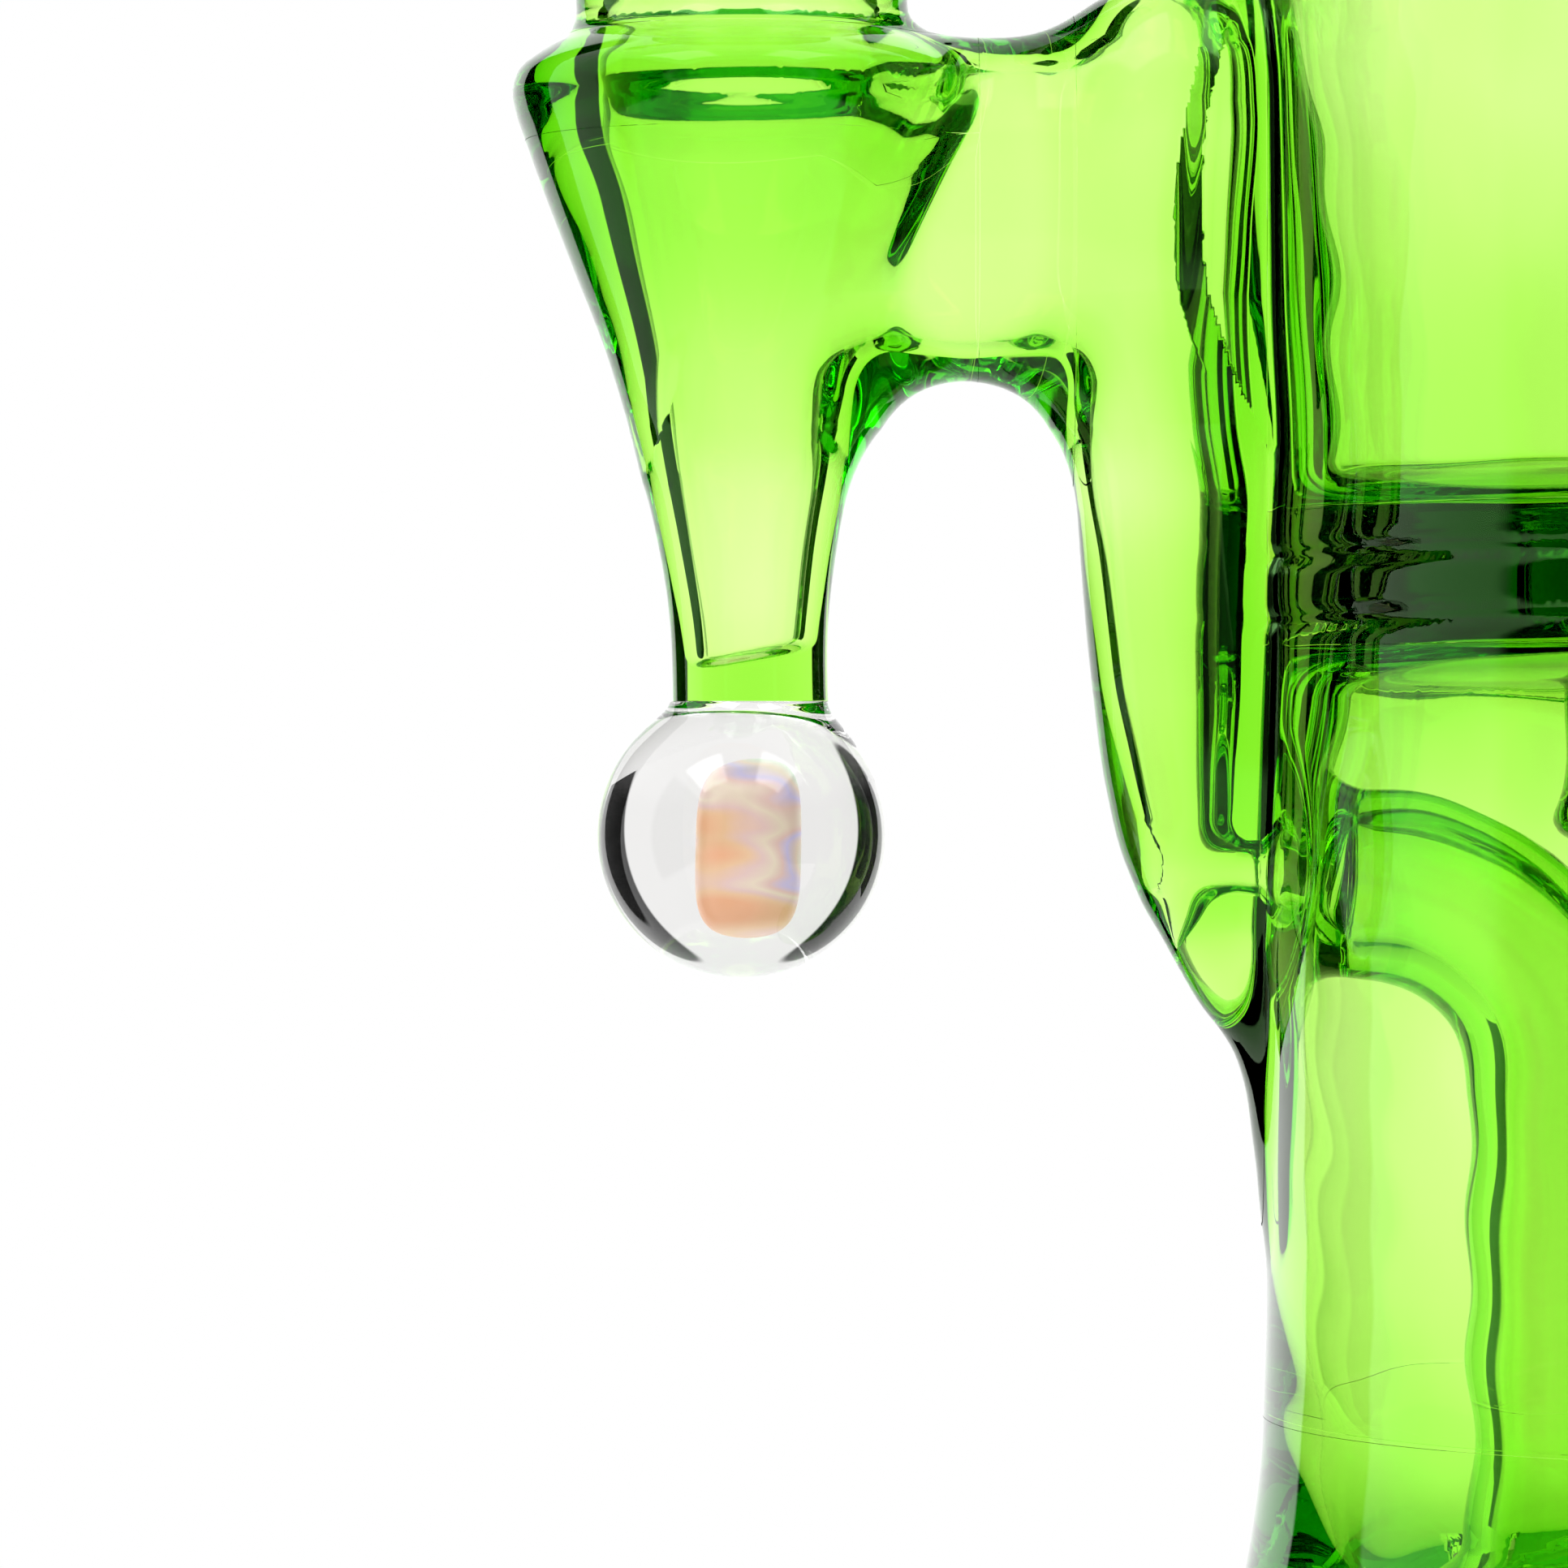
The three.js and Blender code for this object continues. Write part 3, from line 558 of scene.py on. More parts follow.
def cap(work, rim, axis, out):
    """Closes a flat cut with fused faces, wherever it runs between an outer and an inner edge."""
    weld = work.faces.layers.int["weld"]
    verts = list(dict.fromkeys(v for e in rim for v in e.verts))
    number = {v: i for i, v in enumerate(verts)}
    a, b = [i for i in range(3) if i != axis]
    flat = [Vector((v.co[a], v.co[b])) for v in verts]
    bars = [(number[e.verts[0]], number[e.verts[1]]) for e in rim]
    made = delaunay_2d_cdt(flat, bars, [], 0, 1e-7, True)
    places = np.array([p[:] for p in made[0]])
    tris = np.array(made[2])
    middle = places[tris].mean(axis=1)
    one, two = (np.array([flat[pair[i]][:] for pair in bars]) for i in (0, 1))
    inside = np.zeros(len(tris), bool)
    for i in range(0, len(tris), 500):
        u, v = middle[i : i + 500].T[:, :, None]
        spans = (one[:, 1] > v) != (two[:, 1] > v)
        rise = np.where(two[:, 1] == one[:, 1], 1.0, two[:, 1] - one[:, 1])
        cross = one[:, 0] + (v - one[:, 1]) * (two[:, 0] - one[:, 0]) / rise
        inside[i : i + 500] = np.sum(spans & (u < cross), axis=1) % 2 == 1
    for tri in tris[inside]:
        corners = [verts[made[3][i][0]] for i in tri if made[3][i]]
        if len(set(corners)) < 3:
            continue
        f = work.faces.new(corners)
        f.normal_update()
        if f.normal[axis] * out < 0:
            f.normal_flip()
        f[weld] = 1


def cut(work, axis, at, out, near=None):
    """Cuts the work across an axis. Without near, what is beyond the cut goes and the cut is closed."""
    parts = work.verts[:] + work.edges[:] + work.faces[:]
    if near is not None:
        low, high = near
        faces = [(f, f.calc_center_median()) for f in work.faces]
        parts = {f for f, m in faces if all(low[i] < m[i] < high[i] for i in range(3))}
        parts.update([e for f in parts for e in f.edges] + [v for f in parts for v in f.verts])
    normal = [out if i == axis else 0.0 for i in range(3)]
    place = [at if i == axis else 0.0 for i in range(3)]
    found = bmesh.ops.bisect_plane(
        work, geom=list(parts), dist=1e-6, plane_co=place, plane_no=normal, clear_outer=near is None
    )
    rim = [e for e in found["geom_cut"] if isinstance(e, bmesh.types.BMEdge)]
    if near is None and rim:
        cap(work, rim, axis, out)
    return rim


def islands(work):
    """The work's separate parts, as lists of faces."""
    work.faces.index_update()
    seen = np.zeros(len(work.faces), bool)
    found = []
    for start in work.faces:
        if seen[start.index]:
            continue
        seen[start.index] = True
        part, front = [start], [start]
        while front:
            ahead = []
            for f in front:
                for e in f.edges:
                    for g in e.link_faces:
                        if not seen[g.index]:
                            seen[g.index] = True
                            ahead.append(g)
            part += ahead
            front = ahead
        found.append(part)
    return found


def piece(name, points, faces, weld, normals=None, ground=None):
    """One object from points in mm. weld marks the faces that are fused to a neighbour."""
    mesh = bpy.data.meshes.new(name)
    mesh.from_pydata((np.asarray(points) * MM).tolist(), [], [list(f) for f in faces])
    mesh.polygons.foreach_set("use_smooth", np.ones(len(mesh.polygons), bool))
    mesh.attributes.new("weld", "FLOAT", "FACE").data.foreach_set("value", np.asarray(weld, np.float32))
    rubbed = np.zeros(len(mesh.polygons), np.float32) if ground is None else np.asarray(ground, np.float32)
    mesh.attributes.new("ground", "FLOAT", "FACE").data.foreach_set("value", rubbed)
    if normals is not None:
        corner = np.empty(len(mesh.loops), np.int32)
        mesh.loops.foreach_get("vertex_index", corner)
        counts = np.empty(len(mesh.polygons), np.int32)
        mesh.polygons.foreach_get("loop_total", counts)
        flat = np.empty(len(mesh.polygons) * 3, np.float32)
        mesh.polygons.foreach_get("normal", flat)
        owner = np.repeat(np.arange(len(counts)), counts)
        marked = np.asarray(weld)[owner] > 0.5
        shown = np.where(marked[:, None], flat.reshape(-1, 3)[owner], np.asarray(normals)[corner])
        mesh.normals_split_custom_set(shown.tolist())
    mesh.validate()
    made = bpy.data.objects.new(name, mesh)
    bpy.context.scene.collection.objects.link(made)
    return made


def worked(points, faces, marks):
    """A bmesh from points, faces and the marks of the fused ones."""
    mesh = bpy.data.meshes.new("work")
    mesh.from_pydata(np.asarray(points).tolist(), [], [list(f) for f in faces])
    work = bmesh.new()
    work.from_mesh(mesh)
    bpy.data.meshes.remove(mesh)
    weld = work.faces.layers.int.new("weld")
    for f, mark in zip(work.faces, marks):
        f[weld] = mark
    return work


def unworked(work, faces=None):
    weld = work.faces.layers.int["weld"]
    verts = {}
    rows = [[verts.setdefault(v, len(verts)) for v in f.verts] for f in faces or work.faces]
    return [np.array([v.co[:] for v in verts]), rows, [f[weld] for f in faces or work.faces]]


def slice_of(low, high, step, solid=glass, across=None):
    """Cuts a box out of the vessel, and returns its separate parts as [points, faces, marks]."""
    points, faces = skin(solid, low, high, step)
    work = worked(points, faces, np.zeros(len(faces), int))
    for axis in range(3):
        for edge, out in ((low, -1.0), (high, 1.0)):
            cut(work, axis, edge[axis] - out * CLOSE, out)
    if across is not None:
        bmesh.ops.split_edges(work, edges=cut(work, *across))
    found = [unworked(work, part) for part in islands(work)]
    work.free()
    if across is not None:
        found = [capped(part, across[0], across[1]) for part in found]
    return found


def capped(part, axis, at):
    """Closes the open rim of a part that was cut loose, and draws it back a little."""
    work = worked(*part)
    rim = [e for e in work.edges if e.is_boundary]
    if rim:
        beyond = np.mean([f.calc_center_median()[axis] for e in rim for f in e.link_faces]) > at
        out = -1.0 if beyond else 1.0
        cap(work, rim, axis, out)
        for v in {v for e in rim for v in e.verts}:
            v.co[axis] -= out * CLOSE
    part = unworked(work)
    work.free()
    return part


def linear(colour):
    """A colour in sRGB hex, as the linear values that Blender works in."""
    parts = [int(colour[i : i + 2], 16) / 255 for i in (1, 3, 5)]
    return [c / 12.92 if c <= 0.04045 else ((c + 0.055) / 1.055) ** 2.4 for c in parts] + [1.0]


def put(tree, kind, sets=None, links=None, **fields):
    """Adds a node with its fields, its socket values and its incoming links."""
    made = tree.nodes.new(kind)
    for key, value in fields.items():
        setattr(made, key, value)
    for key, value in (sets or {}).items():
        made.inputs[key].default_value = value
    for key, source in (links or {}).items():
        tree.links.new(source, made.inputs[key])
    return made


def maths(tree, operation, *terms):
    """The result of an operation on terms that are numbers or the outputs of other nodes."""
    numbers = {i: term for i, term in enumerate(terms) if isinstance(term, (int, float))}
    sources = {i: term for i, term in enumerate(terms) if i not in numbers}
    return put(tree, "ShaderNodeMath", numbers, sources, operation=operation).outputs["Value"]


def ranged(tree, value, start, end, low=0.0, high=1.0, kind="SMOOTHSTEP"):
    """A value between start and end, moved to between low and high and held there."""
    span = {"From Min": start, "From Max": end, "To Min": low, "To Max": high}
    return put(
        tree, "ShaderNodeMapRange", span, {"Value": value}, interpolation_type=kind
    ).outputs["Result"]


def blended(tree, factor, a, b):
    """A number between two others; b is a plain value, and a is one or another node's output."""
    sets, links = {"B": b}, {"Factor": factor}
    (sets if isinstance(a, (int, float)) else links)["A"] = a
    return put(tree, "ShaderNodeMix", sets, links, data_type="FLOAT").outputs["Result"]


def blank(block):
    """The emptied node tree of a material or world."""
    block.use_nodes = True
    block.node_tree.nodes.clear()
    return block.node_tree


def borosilicate(name, tint, light, stain, density, streak, edge, sheen):
    """Fire-polished borosilicate: no grain, a hard gloss, index 1.47, and colour that deepens with
    thickness. Drawn glass carries faint cords, thin streaks that bend what is seen through them."""
    material = bpy.data.materials.new(name)
    tree = blank(material)
    place = put(tree, "ShaderNodeTexCoord")
    drawn = put(tree, "ShaderNodeMapping", {"Scale": (1.0, 1.0, 0.35)}, {"Vector": place.outputs["Object"]})
    cords = put(
        tree,
        "ShaderNodeTexNoise",
        {"Scale": 1 / (9 * MM), "Detail": 1.5, "Roughness": 0.4},
        {"Vector": drawn.outputs["Vector"]},
    )
    ramp = put(tree, "ShaderNodeValToRGB", links={"Fac": cords.outputs["Fac"]})
    ramp.color_ramp.elements[0].color = linear(tint)
    ramp.color_ramp.elements[1].color = linear(light)
    ramp.color_ramp.elements[0].position = 0.3
    ramp.color_ramp.elements[1].position = 0.62
    # Where the surface turns edge-on, its colour is painted down towards black-green by the edge amount: a
    # painted shade along every outline and inner wall.
    graze = put(tree, "ShaderNodeLayerWeight", {"Blend": 0.5})
    rim = ranged(tree, graze.outputs["Facing"], 0.88, 0.985, 0.0, edge)
    painted_edge_shade = put(
        tree,
        "ShaderNodeMix",
        {"B": linear("#0a2a06")},
        {"Factor": rim, "A": ramp.outputs["Color"]},
        data_type="RGBA",
    )
    bump = put(
        tree,
        "ShaderNodeBump",
        {"Strength": 1.0, "Distance": streak * MM},
        {"Height": cords.outputs["Fac"]},
    )
    weld = put(tree, "ShaderNodeAttribute", attribute_name="weld")
    shown = maths(tree, "SUBTRACT", 1.0, weld.outputs["Fac"])
    rubbed = put(tree, "ShaderNodeAttribute", attribute_name="ground")
    grain = put(
        tree,
        "ShaderNodeTexNoise",
        {"Scale": 1 / (0.3 * MM), "Detail": 2.0},
        {"Vector": place.outputs["Object"]},
    )
    rough = ranged(tree, grain.outputs["Fac"], 0.3, 0.7, 0.28, 0.42, kind="LINEAR")
    dull = maths(tree, "MULTIPLY", rubbed.outputs["Fac"], rough)
    surface = put(
        tree,
        "ShaderNodeBsdfPrincipled",
        {"IOR": 1.47, "Transmission Weight": 1.0, "Specular Tint": sheen},
        {
            "Base Color": painted_edge_shade.outputs["Result"],
            "Roughness": dull,
            "Alpha": shown,
            "Normal": bump.outputs["Normal"],
        },
    )
    out = put(tree, "ShaderNodeOutputMaterial", links={"Surface": surface.outputs["BSDF"]})
    if density:
        depth = put(tree, "ShaderNodeVolumeAbsorption", {"Color": stain, "Density": density})
        tree.links.new(depth.outputs["Volume"], out.inputs["Volume"])
    return material


# Half the red goes in 4 mm of this glass, half the blue in 2 and half the green in 15. Its reflections are
# tinted too. The disc is solid right across, so it is worked from the same glass but reads almost black.
lime = (0.35, 0.95, 0.25, 1.0)
in_wall = (0.60, 0.90, 0.05, 1.0)
in_disc = (0.60, 0.83, 0.05, 1.0)
# The green glass takes the painted edge shade at 0.9; the clear glass below takes none.
green_glass, disc_glass = (
    borosilicate(name, "#f4ffec", "#ffffff", stain, density, 0.02, 0.9, lime)
    for name, stain, density in (
        ("lime borosilicate glass", in_wall, 400.0),
        ("lime borosilicate glass disc", in_disc, 430.0),
    )
)


def finish_glass(made, *nodes, body="vessel", slot="green_glass", material=None):
    made.data.materials.append(material or green_glass)
    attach(made, body)
    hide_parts(*nodes)
    return made


def gathered(name, parts, *nodes, solid=glass, **wear):
    """One named piece from one or more parts of a slice, standing for these nodes."""
    places, rows, marks = np.zeros((0, 3)), [], []
    for part in parts:
        shift = len(places)
        places = np.concatenate([places, part[0]])
        rows = rows + [[i + shift for i in row] for row in part[1]]
        marks = marks + part[2]
    out, _ = slope_of(solid, places)
    ground = None
    if "ground" in wear:
        middle = np.array([places[row].mean(axis=0) for row in rows])
        ground = wear.pop("ground")(*middle.T) * (np.array(marks) == 0)
    return finish_glass(piece(name, places, rows, marks, out, ground), *nodes, **wear)


def blown(name, low, high, step, *nodes, solid=glass, **wear):
    return gathered(name, slice_of(low, high, step, solid), *nodes, solid=solid, **wear)


def sorted_out(parts, seeds):
    """The parts of a slice, each under the name of the place in seeds that is nearest to its middle."""
    named = {name: [] for name in seeds}
    for part in parts:
        middle = 0.5 * (part[0].min(axis=0) + part[0].max(axis=0))
        named[min(seeds, key=lambda n: np.linalg.norm(middle - np.array(seeds[n])))].append(part)
    return named


WIDE = 45.0  # past the foot on every side
ARM = WIDE / 3  # past the side tube, the bridge and the column, front and back
HALF_WELD = 0.15  # half the gap that the frame leaves between two sections
weld_x = -(can_radius + HALF_WELD)  # the plane between the can and the side tube
bridge_x = side_low[0] - 0.45  # between the side tube and the bridge
cup_x = socket_x + 12.75  # between the bridge and the ring
foot_top = foot_high[2] + HALF_WELD
flare_top = can_low[2] - HALF_WELD
flare_middle = 0.5 * (foot_top + flare_top)
disc_foot = disc_bottom - 0.5
disc_head = disc_top + 0.6
arm_head = 109  # over the side tube's top
shoulder_foot = shoulder_low[2] - HALF_WELD
shoulder_head = shoulder_high[2] + HALF_WELD

blown("foot_glass", (-WIDE, -WIDE, -2), (WIDE, WIDE, foot_top), 0.8, "foot")

# The foot's flare stands round the diffuser: a bell with ten slits over a closed base.
parts = sorted_out(
    slice_of((-WIDE, -WIDE, foot_top), (WIDE, WIDE, flare_top), 0.7),
    {"flare": (0, 0, flare_middle), "bell": (stem_x, 0, flare_middle)},
)
gathered("foot_flare_glass", parts["flare"], "foot_flare")
gathered("diffuser_glass", parts["bell"], "diffuser_bell", "diffuser_plate")

# The lower chamber's slice also holds the lower ends of the risers and the downcomer, which part from it.
seal_x = -can_radius + 4.7  # just inside the can's wall
seal_box = ((seal_x - 0.9, -8.8, 45), (seal_x + 0.9, 8.8, 66))
seeds = {
    "wall": (0, 0, 0.5 * (flare_top + disc_foot)),
    "pipe": (0.5 * (seal_x + stem_x + 5.5), 0, 0.5 * (flare_top + 62)),
}
for i, place in enumerate(RISERS, 1):
    seeds[f"riser_{i}"] = (place[0], place[1], 0.5 * (riser_low[2] + disc_foot))
parts = sorted_out(
    slice_of((weld_x, -WIDE, flare_top), (WIDE, WIDE, disc_foot), 0.55, across=(0, seal_x, 1.0, seal_box)),
    seeds,
)
gathered("lower_chamber_glass", parts["wall"], "lower_chamber", "wall_seal")
gathered("downcomer_glass", parts["pipe"], "downcomer_bend", "downcomer_stem")
for i in range(1, len(RISERS) + 1):
    gathered(f"riser_{i}_glass", parts[f"riser_{i}"], f"riser_{i}")

for node, foot, head, step, kind in (
    ("divider", disc_foot, disc_head, 0.5, disc_glass),
    ("upper_chamber", disc_head, shoulder_foot, 0.55, green_glass),
    ("shoulder", shoulder_foot, shoulder_head, 0.75, green_glass),
):
    blown(f"{node}_glass", (weld_x, -WIDE, foot), (WIDE, WIDE, head), step, node, material=kind)
tube_nodes = ("side_tube", "side_tube_cap", "side_tube_tip")
blown("side_tube_glass", (bridge_x, -ARM, 33), (weld_x, ARM, arm_head), 0.23, *tube_nodes)
blown("bridge_glass", (cup_x, -ARM, 74), (bridge_x, ARM, arm_head), 0.32, "bridge")

# ---------------------------------------------------------------- socket ring, cup and collar
# The collar's bore is a 14 mm taper, ground with grit after blowing so the bowl's cone seats in it. The
# grinding leaves it frosted; everything else on the column is bright glass.
ground_foot = ring_high[2] + 5.4
ring_foot = ring_low[2] - HALF_WELD
ring_head = ring_high[2] + HALF_WELD
column_x = -75  # past the column on its outer side


def in_socket(x, y, z):
    off = np.hypot(x - socket_x, y)
    return ((off < 8.0) & (z > ground_foot) & (z < socket_mouth - 0.5)).astype(float)


for nodes, foot, head, step in (
    (("cup", "cup_tip"), seam, ring_foot, 0.33),
    (("socket_ring",), ring_foot, ring_head, 0.4),
    (("socket_collar",), ring_head, socket_mouth + 2, 0.5),
):
    name = f"{nodes[0]}_glass"
    blown(name, (column_x, -ARM, foot), (cup_x, ARM, head), step, *nodes, ground=in_socket)

# ---------------------------------------------------------------- drop marble
# The marble is a gather of clear rod, gathered round the opal and pulled up into a short cone where it is
# fused to the cup's green tip. Clear borosilicate has no colour of its own. A few seeds, tiny air
# bubbles, were caught in it as it was worked.
marble_low, marble_high = sides("drop_marble")
opal_low, opal_high = sides("opal")
marble_radius = 0.5 * (marble_high[1] - marble_low[1])
marble_x = 0.5 * (marble_low[0] + marble_high[0])
marble_z = marble_low[2] + marble_radius

SEEDS = [  # along X, Y and Z from the marble's middle, and the radius
    (3.55, -1.2, 2.25, 0.13),
    (5.1, -0.6, 0.95, 0.11),
    (3.9, 1.0, 0.3, 0.09),
    (6.4, 0.8, 0.55, 0.12),
    (-4.6, 1.4, 1.9, 0.08),
    (-2.8, -2.2, -4.9, 0.09),
    (2.6, 2.4, -5.4, 0.07),
    (0.6, -3.0, 5.6, 0.08),
]


def clear_rod(x, y, z):
    ball = np.sqrt((x - marble_x) ** 2 + y**2 + (1.01 * (z - marble_z)) ** 2) - marble_radius
    rows = [(marble_z + 3, 5.9), (marble_z + 5.4, 4.9), (seam - 0.6, 4.25), (seam + 1, 4.2)]
    cone = np.maximum(turned(np.hypot(x - column_centre(z), y), z, rows), marble_z + 3 - z)
    shape = joined(ball, cone, 1.1)
    for dx, dy, dz, radius in SEEDS:
        far = np.sqrt((x - marble_x - dx) ** 2 + (y - dy) ** 2 + (z - marble_z - dz) ** 2)
        shape = np.maximum(shape, radius - far)
    return shape


plain = (1.0, 1.0, 1.0, 1.0)
clear_glass = borosilicate("clear borosilicate glass", "#c9c9c8", "#cdcccb", None, 0, 0.0, 0.0, plain)
reach = marble_radius + 2
blown(
    "marble_glass",
    (marble_x - reach, -reach, marble_z - reach),
    (marble_x + reach, reach, seam),
    0.32,
    "drop_marble",
    "marble_plug",
    solid=clear_rod,
    slot="clear_glass",
    material=clear_glass,
)

# ---------------------------------------------------------------- opal
# A lab-grown opal, cut to a pill and sealed inside the marble. It is polished, milky, and its stacked
# silica layers play pink, mint, gold and lavender in soft flecks and bands.
opal_radius = 0.5 * (opal_high[1] - opal_low[1])
opal_length = opal_high[2] - opal_low[2]
opal_x = 0.5 * (opal_low[0] + opal_high[0]) + 0.25
opal_z = 0.5 * (opal_low[2] + opal_high[2]) - 0.5
around, along = 72, 40
points, faces = [], []
for i in range(along + 1):
    turn = math.pi * i / along
    high = np.sign(math.cos(turn)) * abs(math.cos(turn)) ** 0.5 * opal_length / 2
    wide = abs(math.sin(turn)) ** 0.55 * opal_radius * (1.0 - 0.03 * (high / opal_length))
    for k in range(around):
        a = 2 * math.pi * k / around
        x, y = wide * math.cos(a), wide * math.sin(a)
        lift = 0.10 * x * (0.5 + high / opal_length)
        points.append((opal_x + x + 0.015 * high, y, opal_z + high + lift))
for i in range(along):
    for k in range(around):
        m = (k + 1) % around
        faces.append((i * around + k, (i + 1) * around + k, (i + 1) * around + m, i * around + m))
faces.append(tuple(range(around))[::-1])
faces.append(tuple(along * around + k for k in range(around)))
opal_piece = piece("opal_pill", points, faces, np.zeros(len(faces)))
faces_out = bmesh.new()
faces_out.from_mesh(opal_piece.data)
bmesh.ops.remove_doubles(faces_out, verts=faces_out.verts, dist=1e-7)
bmesh.ops.recalc_face_normals(faces_out, faces=faces_out.faces)
faces_out.to_mesh(opal_piece.data)
faces_out.free()

opal = bpy.data.materials.new("lab-grown opal")
tree = blank(opal)
place = put(tree, "ShaderNodeTexCoord")
layers = put(
    tree,
    "ShaderNodeMapping",
    {"Rotation": (0.1, 0.12, 0.0), "Scale": (0.7, 0.7, 2.3)},
    {"Vector": place.outputs["Object"]},
)
drift = put(
    tree,
    "ShaderNodeTexNoise",
    {"Scale": 1 / (4.2 * MM), "Detail": 1.0, "Roughness": 0.3},
    {"Vector": layers.outputs["Vector"]},
)
fade = put(tree, "ShaderNodeSeparateXYZ", links={"Vector": place.outputs["Object"]})
opal_foot, opal_head = ((opal_z + side * opal_length / 2) * MM for side in (-1, 1))
fall = ranged(tree, fade.outputs["Z"], opal_foot, opal_head, -0.16, 0.05, kind="LINEAR")
hue = maths(tree, "ADD", drift.outputs["Fac"], fall)
play = put(tree, "ShaderNodeValToRGB", links={"Fac": hue})
bands = [
    (0.22, "#fbb98c"),
    (0.32, "#fbcfa4"),
    (0.39, "#f6d3cd"),
    (0.45, "#fbe8d2"),
    (0.50, "#f4cfc8"),
    (0.55, "#dccdf6"),
    (0.61, "#f6dcc8"),
    (0.69, "#dff2dc"),
]
while len(play.color_ramp.elements) < len(bands):
    play.color_ramp.elements.new(0.5)
for element, (at, colour) in zip(play.color_ramp.elements, bands):
    element.position = at
    element.color = linear(colour)
# The opal also glows faintly in its own colours, at 0.42: painted light that keeps it bright inside the
# marble.
surface = put(
    tree,
    "ShaderNodeBsdfPrincipled",
    {"Roughness": 0.25, "IOR": 1.45, "Emission Strength": 0.42},
    {"Base Color": play.outputs["Color"], "Emission Color": play.outputs["Color"]},
)
put(tree, "ShaderNodeOutputMaterial", links={"Surface": surface.outputs["BSDF"]})
finish_glass(opal_piece, "opal", slot="opal", material=opal)

# ---------------------------------------------------------------- neck and mouthpiece
# Over a rolled ring the neck rises, bends back from the socket, and opens to a fire-rounded lip. It is the
# same drawn tube all the way.
neck_low, neck_high = sides("neck")
collar_low, collar_high = sides("neck_ring")
lean = math.radians(25)
neck_turn = 45.0  # the radius of the bend
bend_foot = neck_low[2] + 4.0
bend_head = bend_foot + neck_turn * lean
mouth_foot = bend_head + 16.15
lip_foot = mouth_foot + 14.3
lip_end = lip_foot + 2.9
ring_z = 0.5 * (collar_low[2] + collar_high[2])

NECK_OUTSIDE = [
    (shoulder_head - 4, neck_radius),
    (shoulder_head, neck_radius),
    (ring_z - 1.3, neck_radius + 1.7),
    (ring_z, neck_radius + 2.9),
    (ring_z + 1.3, neck_radius + 1.7),
    (ring_z + 2.4, neck_radius),
    (bend_foot, neck_radius - 0.1),
    (mouth_foot, neck_radius),
    (mouth_foot + 4, neck_radius + 0.1),
    (mouth_foot + 9, neck_radius + 1.6),
    (lip_foot - 1.2, neck_radius + 4.0),
    (lip_foot + 0.8, neck_radius + 5.1),
    (lip_foot + 2.0, neck_radius + 5.3),
    (lip_end + 1, neck_radius + 5.0),
]
NECK_BORE = [
    (shoulder_head - 4, neck_bore),
    (shoulder_head, neck_bore),
    (mouth_foot, neck_bore),
    (mouth_foot + 4, neck_bore + 0.1),
    (mouth_foot + 9, neck_bore + 1.4),
    (lip_foot - 1.2, neck_bore + 3.6),
    (lip_foot + 1, neck_bore + 4.4),
    (lip_end + 2, neck_bore + 4.8),
]


def along_neck(x, y, z):
    """The length along the neck's middle line, and the distance from it."""
    turn = np.arctan2(z - bend_foot, neck_turn - x)
    out = neck_turn - np.hypot(neck_turn - x, z - bend_foot)
    dx = x - neck_turn * (1 - math.cos(lean))
    dz = z - bend_foot - neck_turn * math.sin(lean)
    ahead = dx * math.sin(lean) + dz * math.cos(lean)
    aside = dx * math.cos(lean) - dz * math.sin(lean)
    length = np.where(turn < 0, z, np.where(turn > lean, bend_head + ahead, bend_foot + neck_turn * turn))
    off = np.where(turn < 0, x, np.where(turn > lean, aside, out))
    return length, np.hypot(off, y)


def neck_glass(x, y, z):
    length, off = along_neck(x, y, z)
    shape = common(turned(off, length, NECK_OUTSIDE), length - lip_end, 1.5) + 0.5 * wave(y, x, z)
    bore = turned(off, length, NECK_BORE) + wave(x, y, z)
    return common(shape, -bore, 1.3)


def upright(points, back=False):
    """Turns the leaning end of the neck upright, so that height is length along it, or back again."""
    root = np.array([neck_turn * (1 - math.cos(lean)), 0, bend_foot + neck_turn * math.sin(lean)])
    ease, rise = math.cos(lean), math.sin(lean)
    x, y, z = np.asarray(points, float).T
    if back:
        z = z - bend_head
        return np.array([x * ease + z * rise, y, z * ease - x * rise]).T + root
    x, z = x - root[0], z - root[2]
    return np.array([x * ease - z * rise, y, x * rise + z * ease + bend_head]).T


def leaning_glass(x, y, z):
    return neck_glass(*upright(np.array([x, y, z]).T, back=True).T)


neck_foot = collar_high[2] + HALF_WELD
blown("neck_ring_glass", (-20, -20, shoulder_head), (20, 20, neck_foot), 0.55, "neck_ring", solid=neck_glass)
tube = slice_of((-22, -20, neck_foot), (40, 20, neck_high[2] + 6), 0.7, neck_glass)[0]
work = worked(upright(tube[0]), tube[1], tube[2])
cut(work, 2, mouth_foot - CLOSE, 1.0)
tube = unworked(work)
work.free()
tube[0] = upright(tube[0], back=True)
gathered("neck_glass", [tube], "neck", solid=neck_glass)
for node, foot, head in (("mouthpiece", mouth_foot, lip_foot), ("mouth_lip", lip_foot, lip_end + 2)):
    found = slice_of((-22, -22, foot), (22, 22, head), 0.6, leaning_glass)
    for part in found:
        part[0] = upright(part[0], back=True)
    gathered(f"{node}_glass", found, node, solid=neck_glass)

# ---------------------------------------------------------------- bowl
# The bowl lifts out of the socket. Its cone is ground to the socket's taper and frosted; above it a rolled
# ring, a cup with one hole in its floor, and a bent horn to hold it by are bright glass in one piece.
cone_low, cone_high = sides("bowl_ground_cone")
seat_low, seat_high = sides("bowl_ring")
bowl_low, bowl_high = sides("bowl_cup")
screen_low, screen_high = sides("bowl_screen")
horn_low, horn_high = sides("bowl_horn")
bowl_floor = screen_low[2] - 0.7
bowl_wide = bowl_high[1]
depth = bowl_high[2] - bowl_floor
cone_bore, draw_hole, horn_ball = 4.2, 2.2, 3.4  # radii

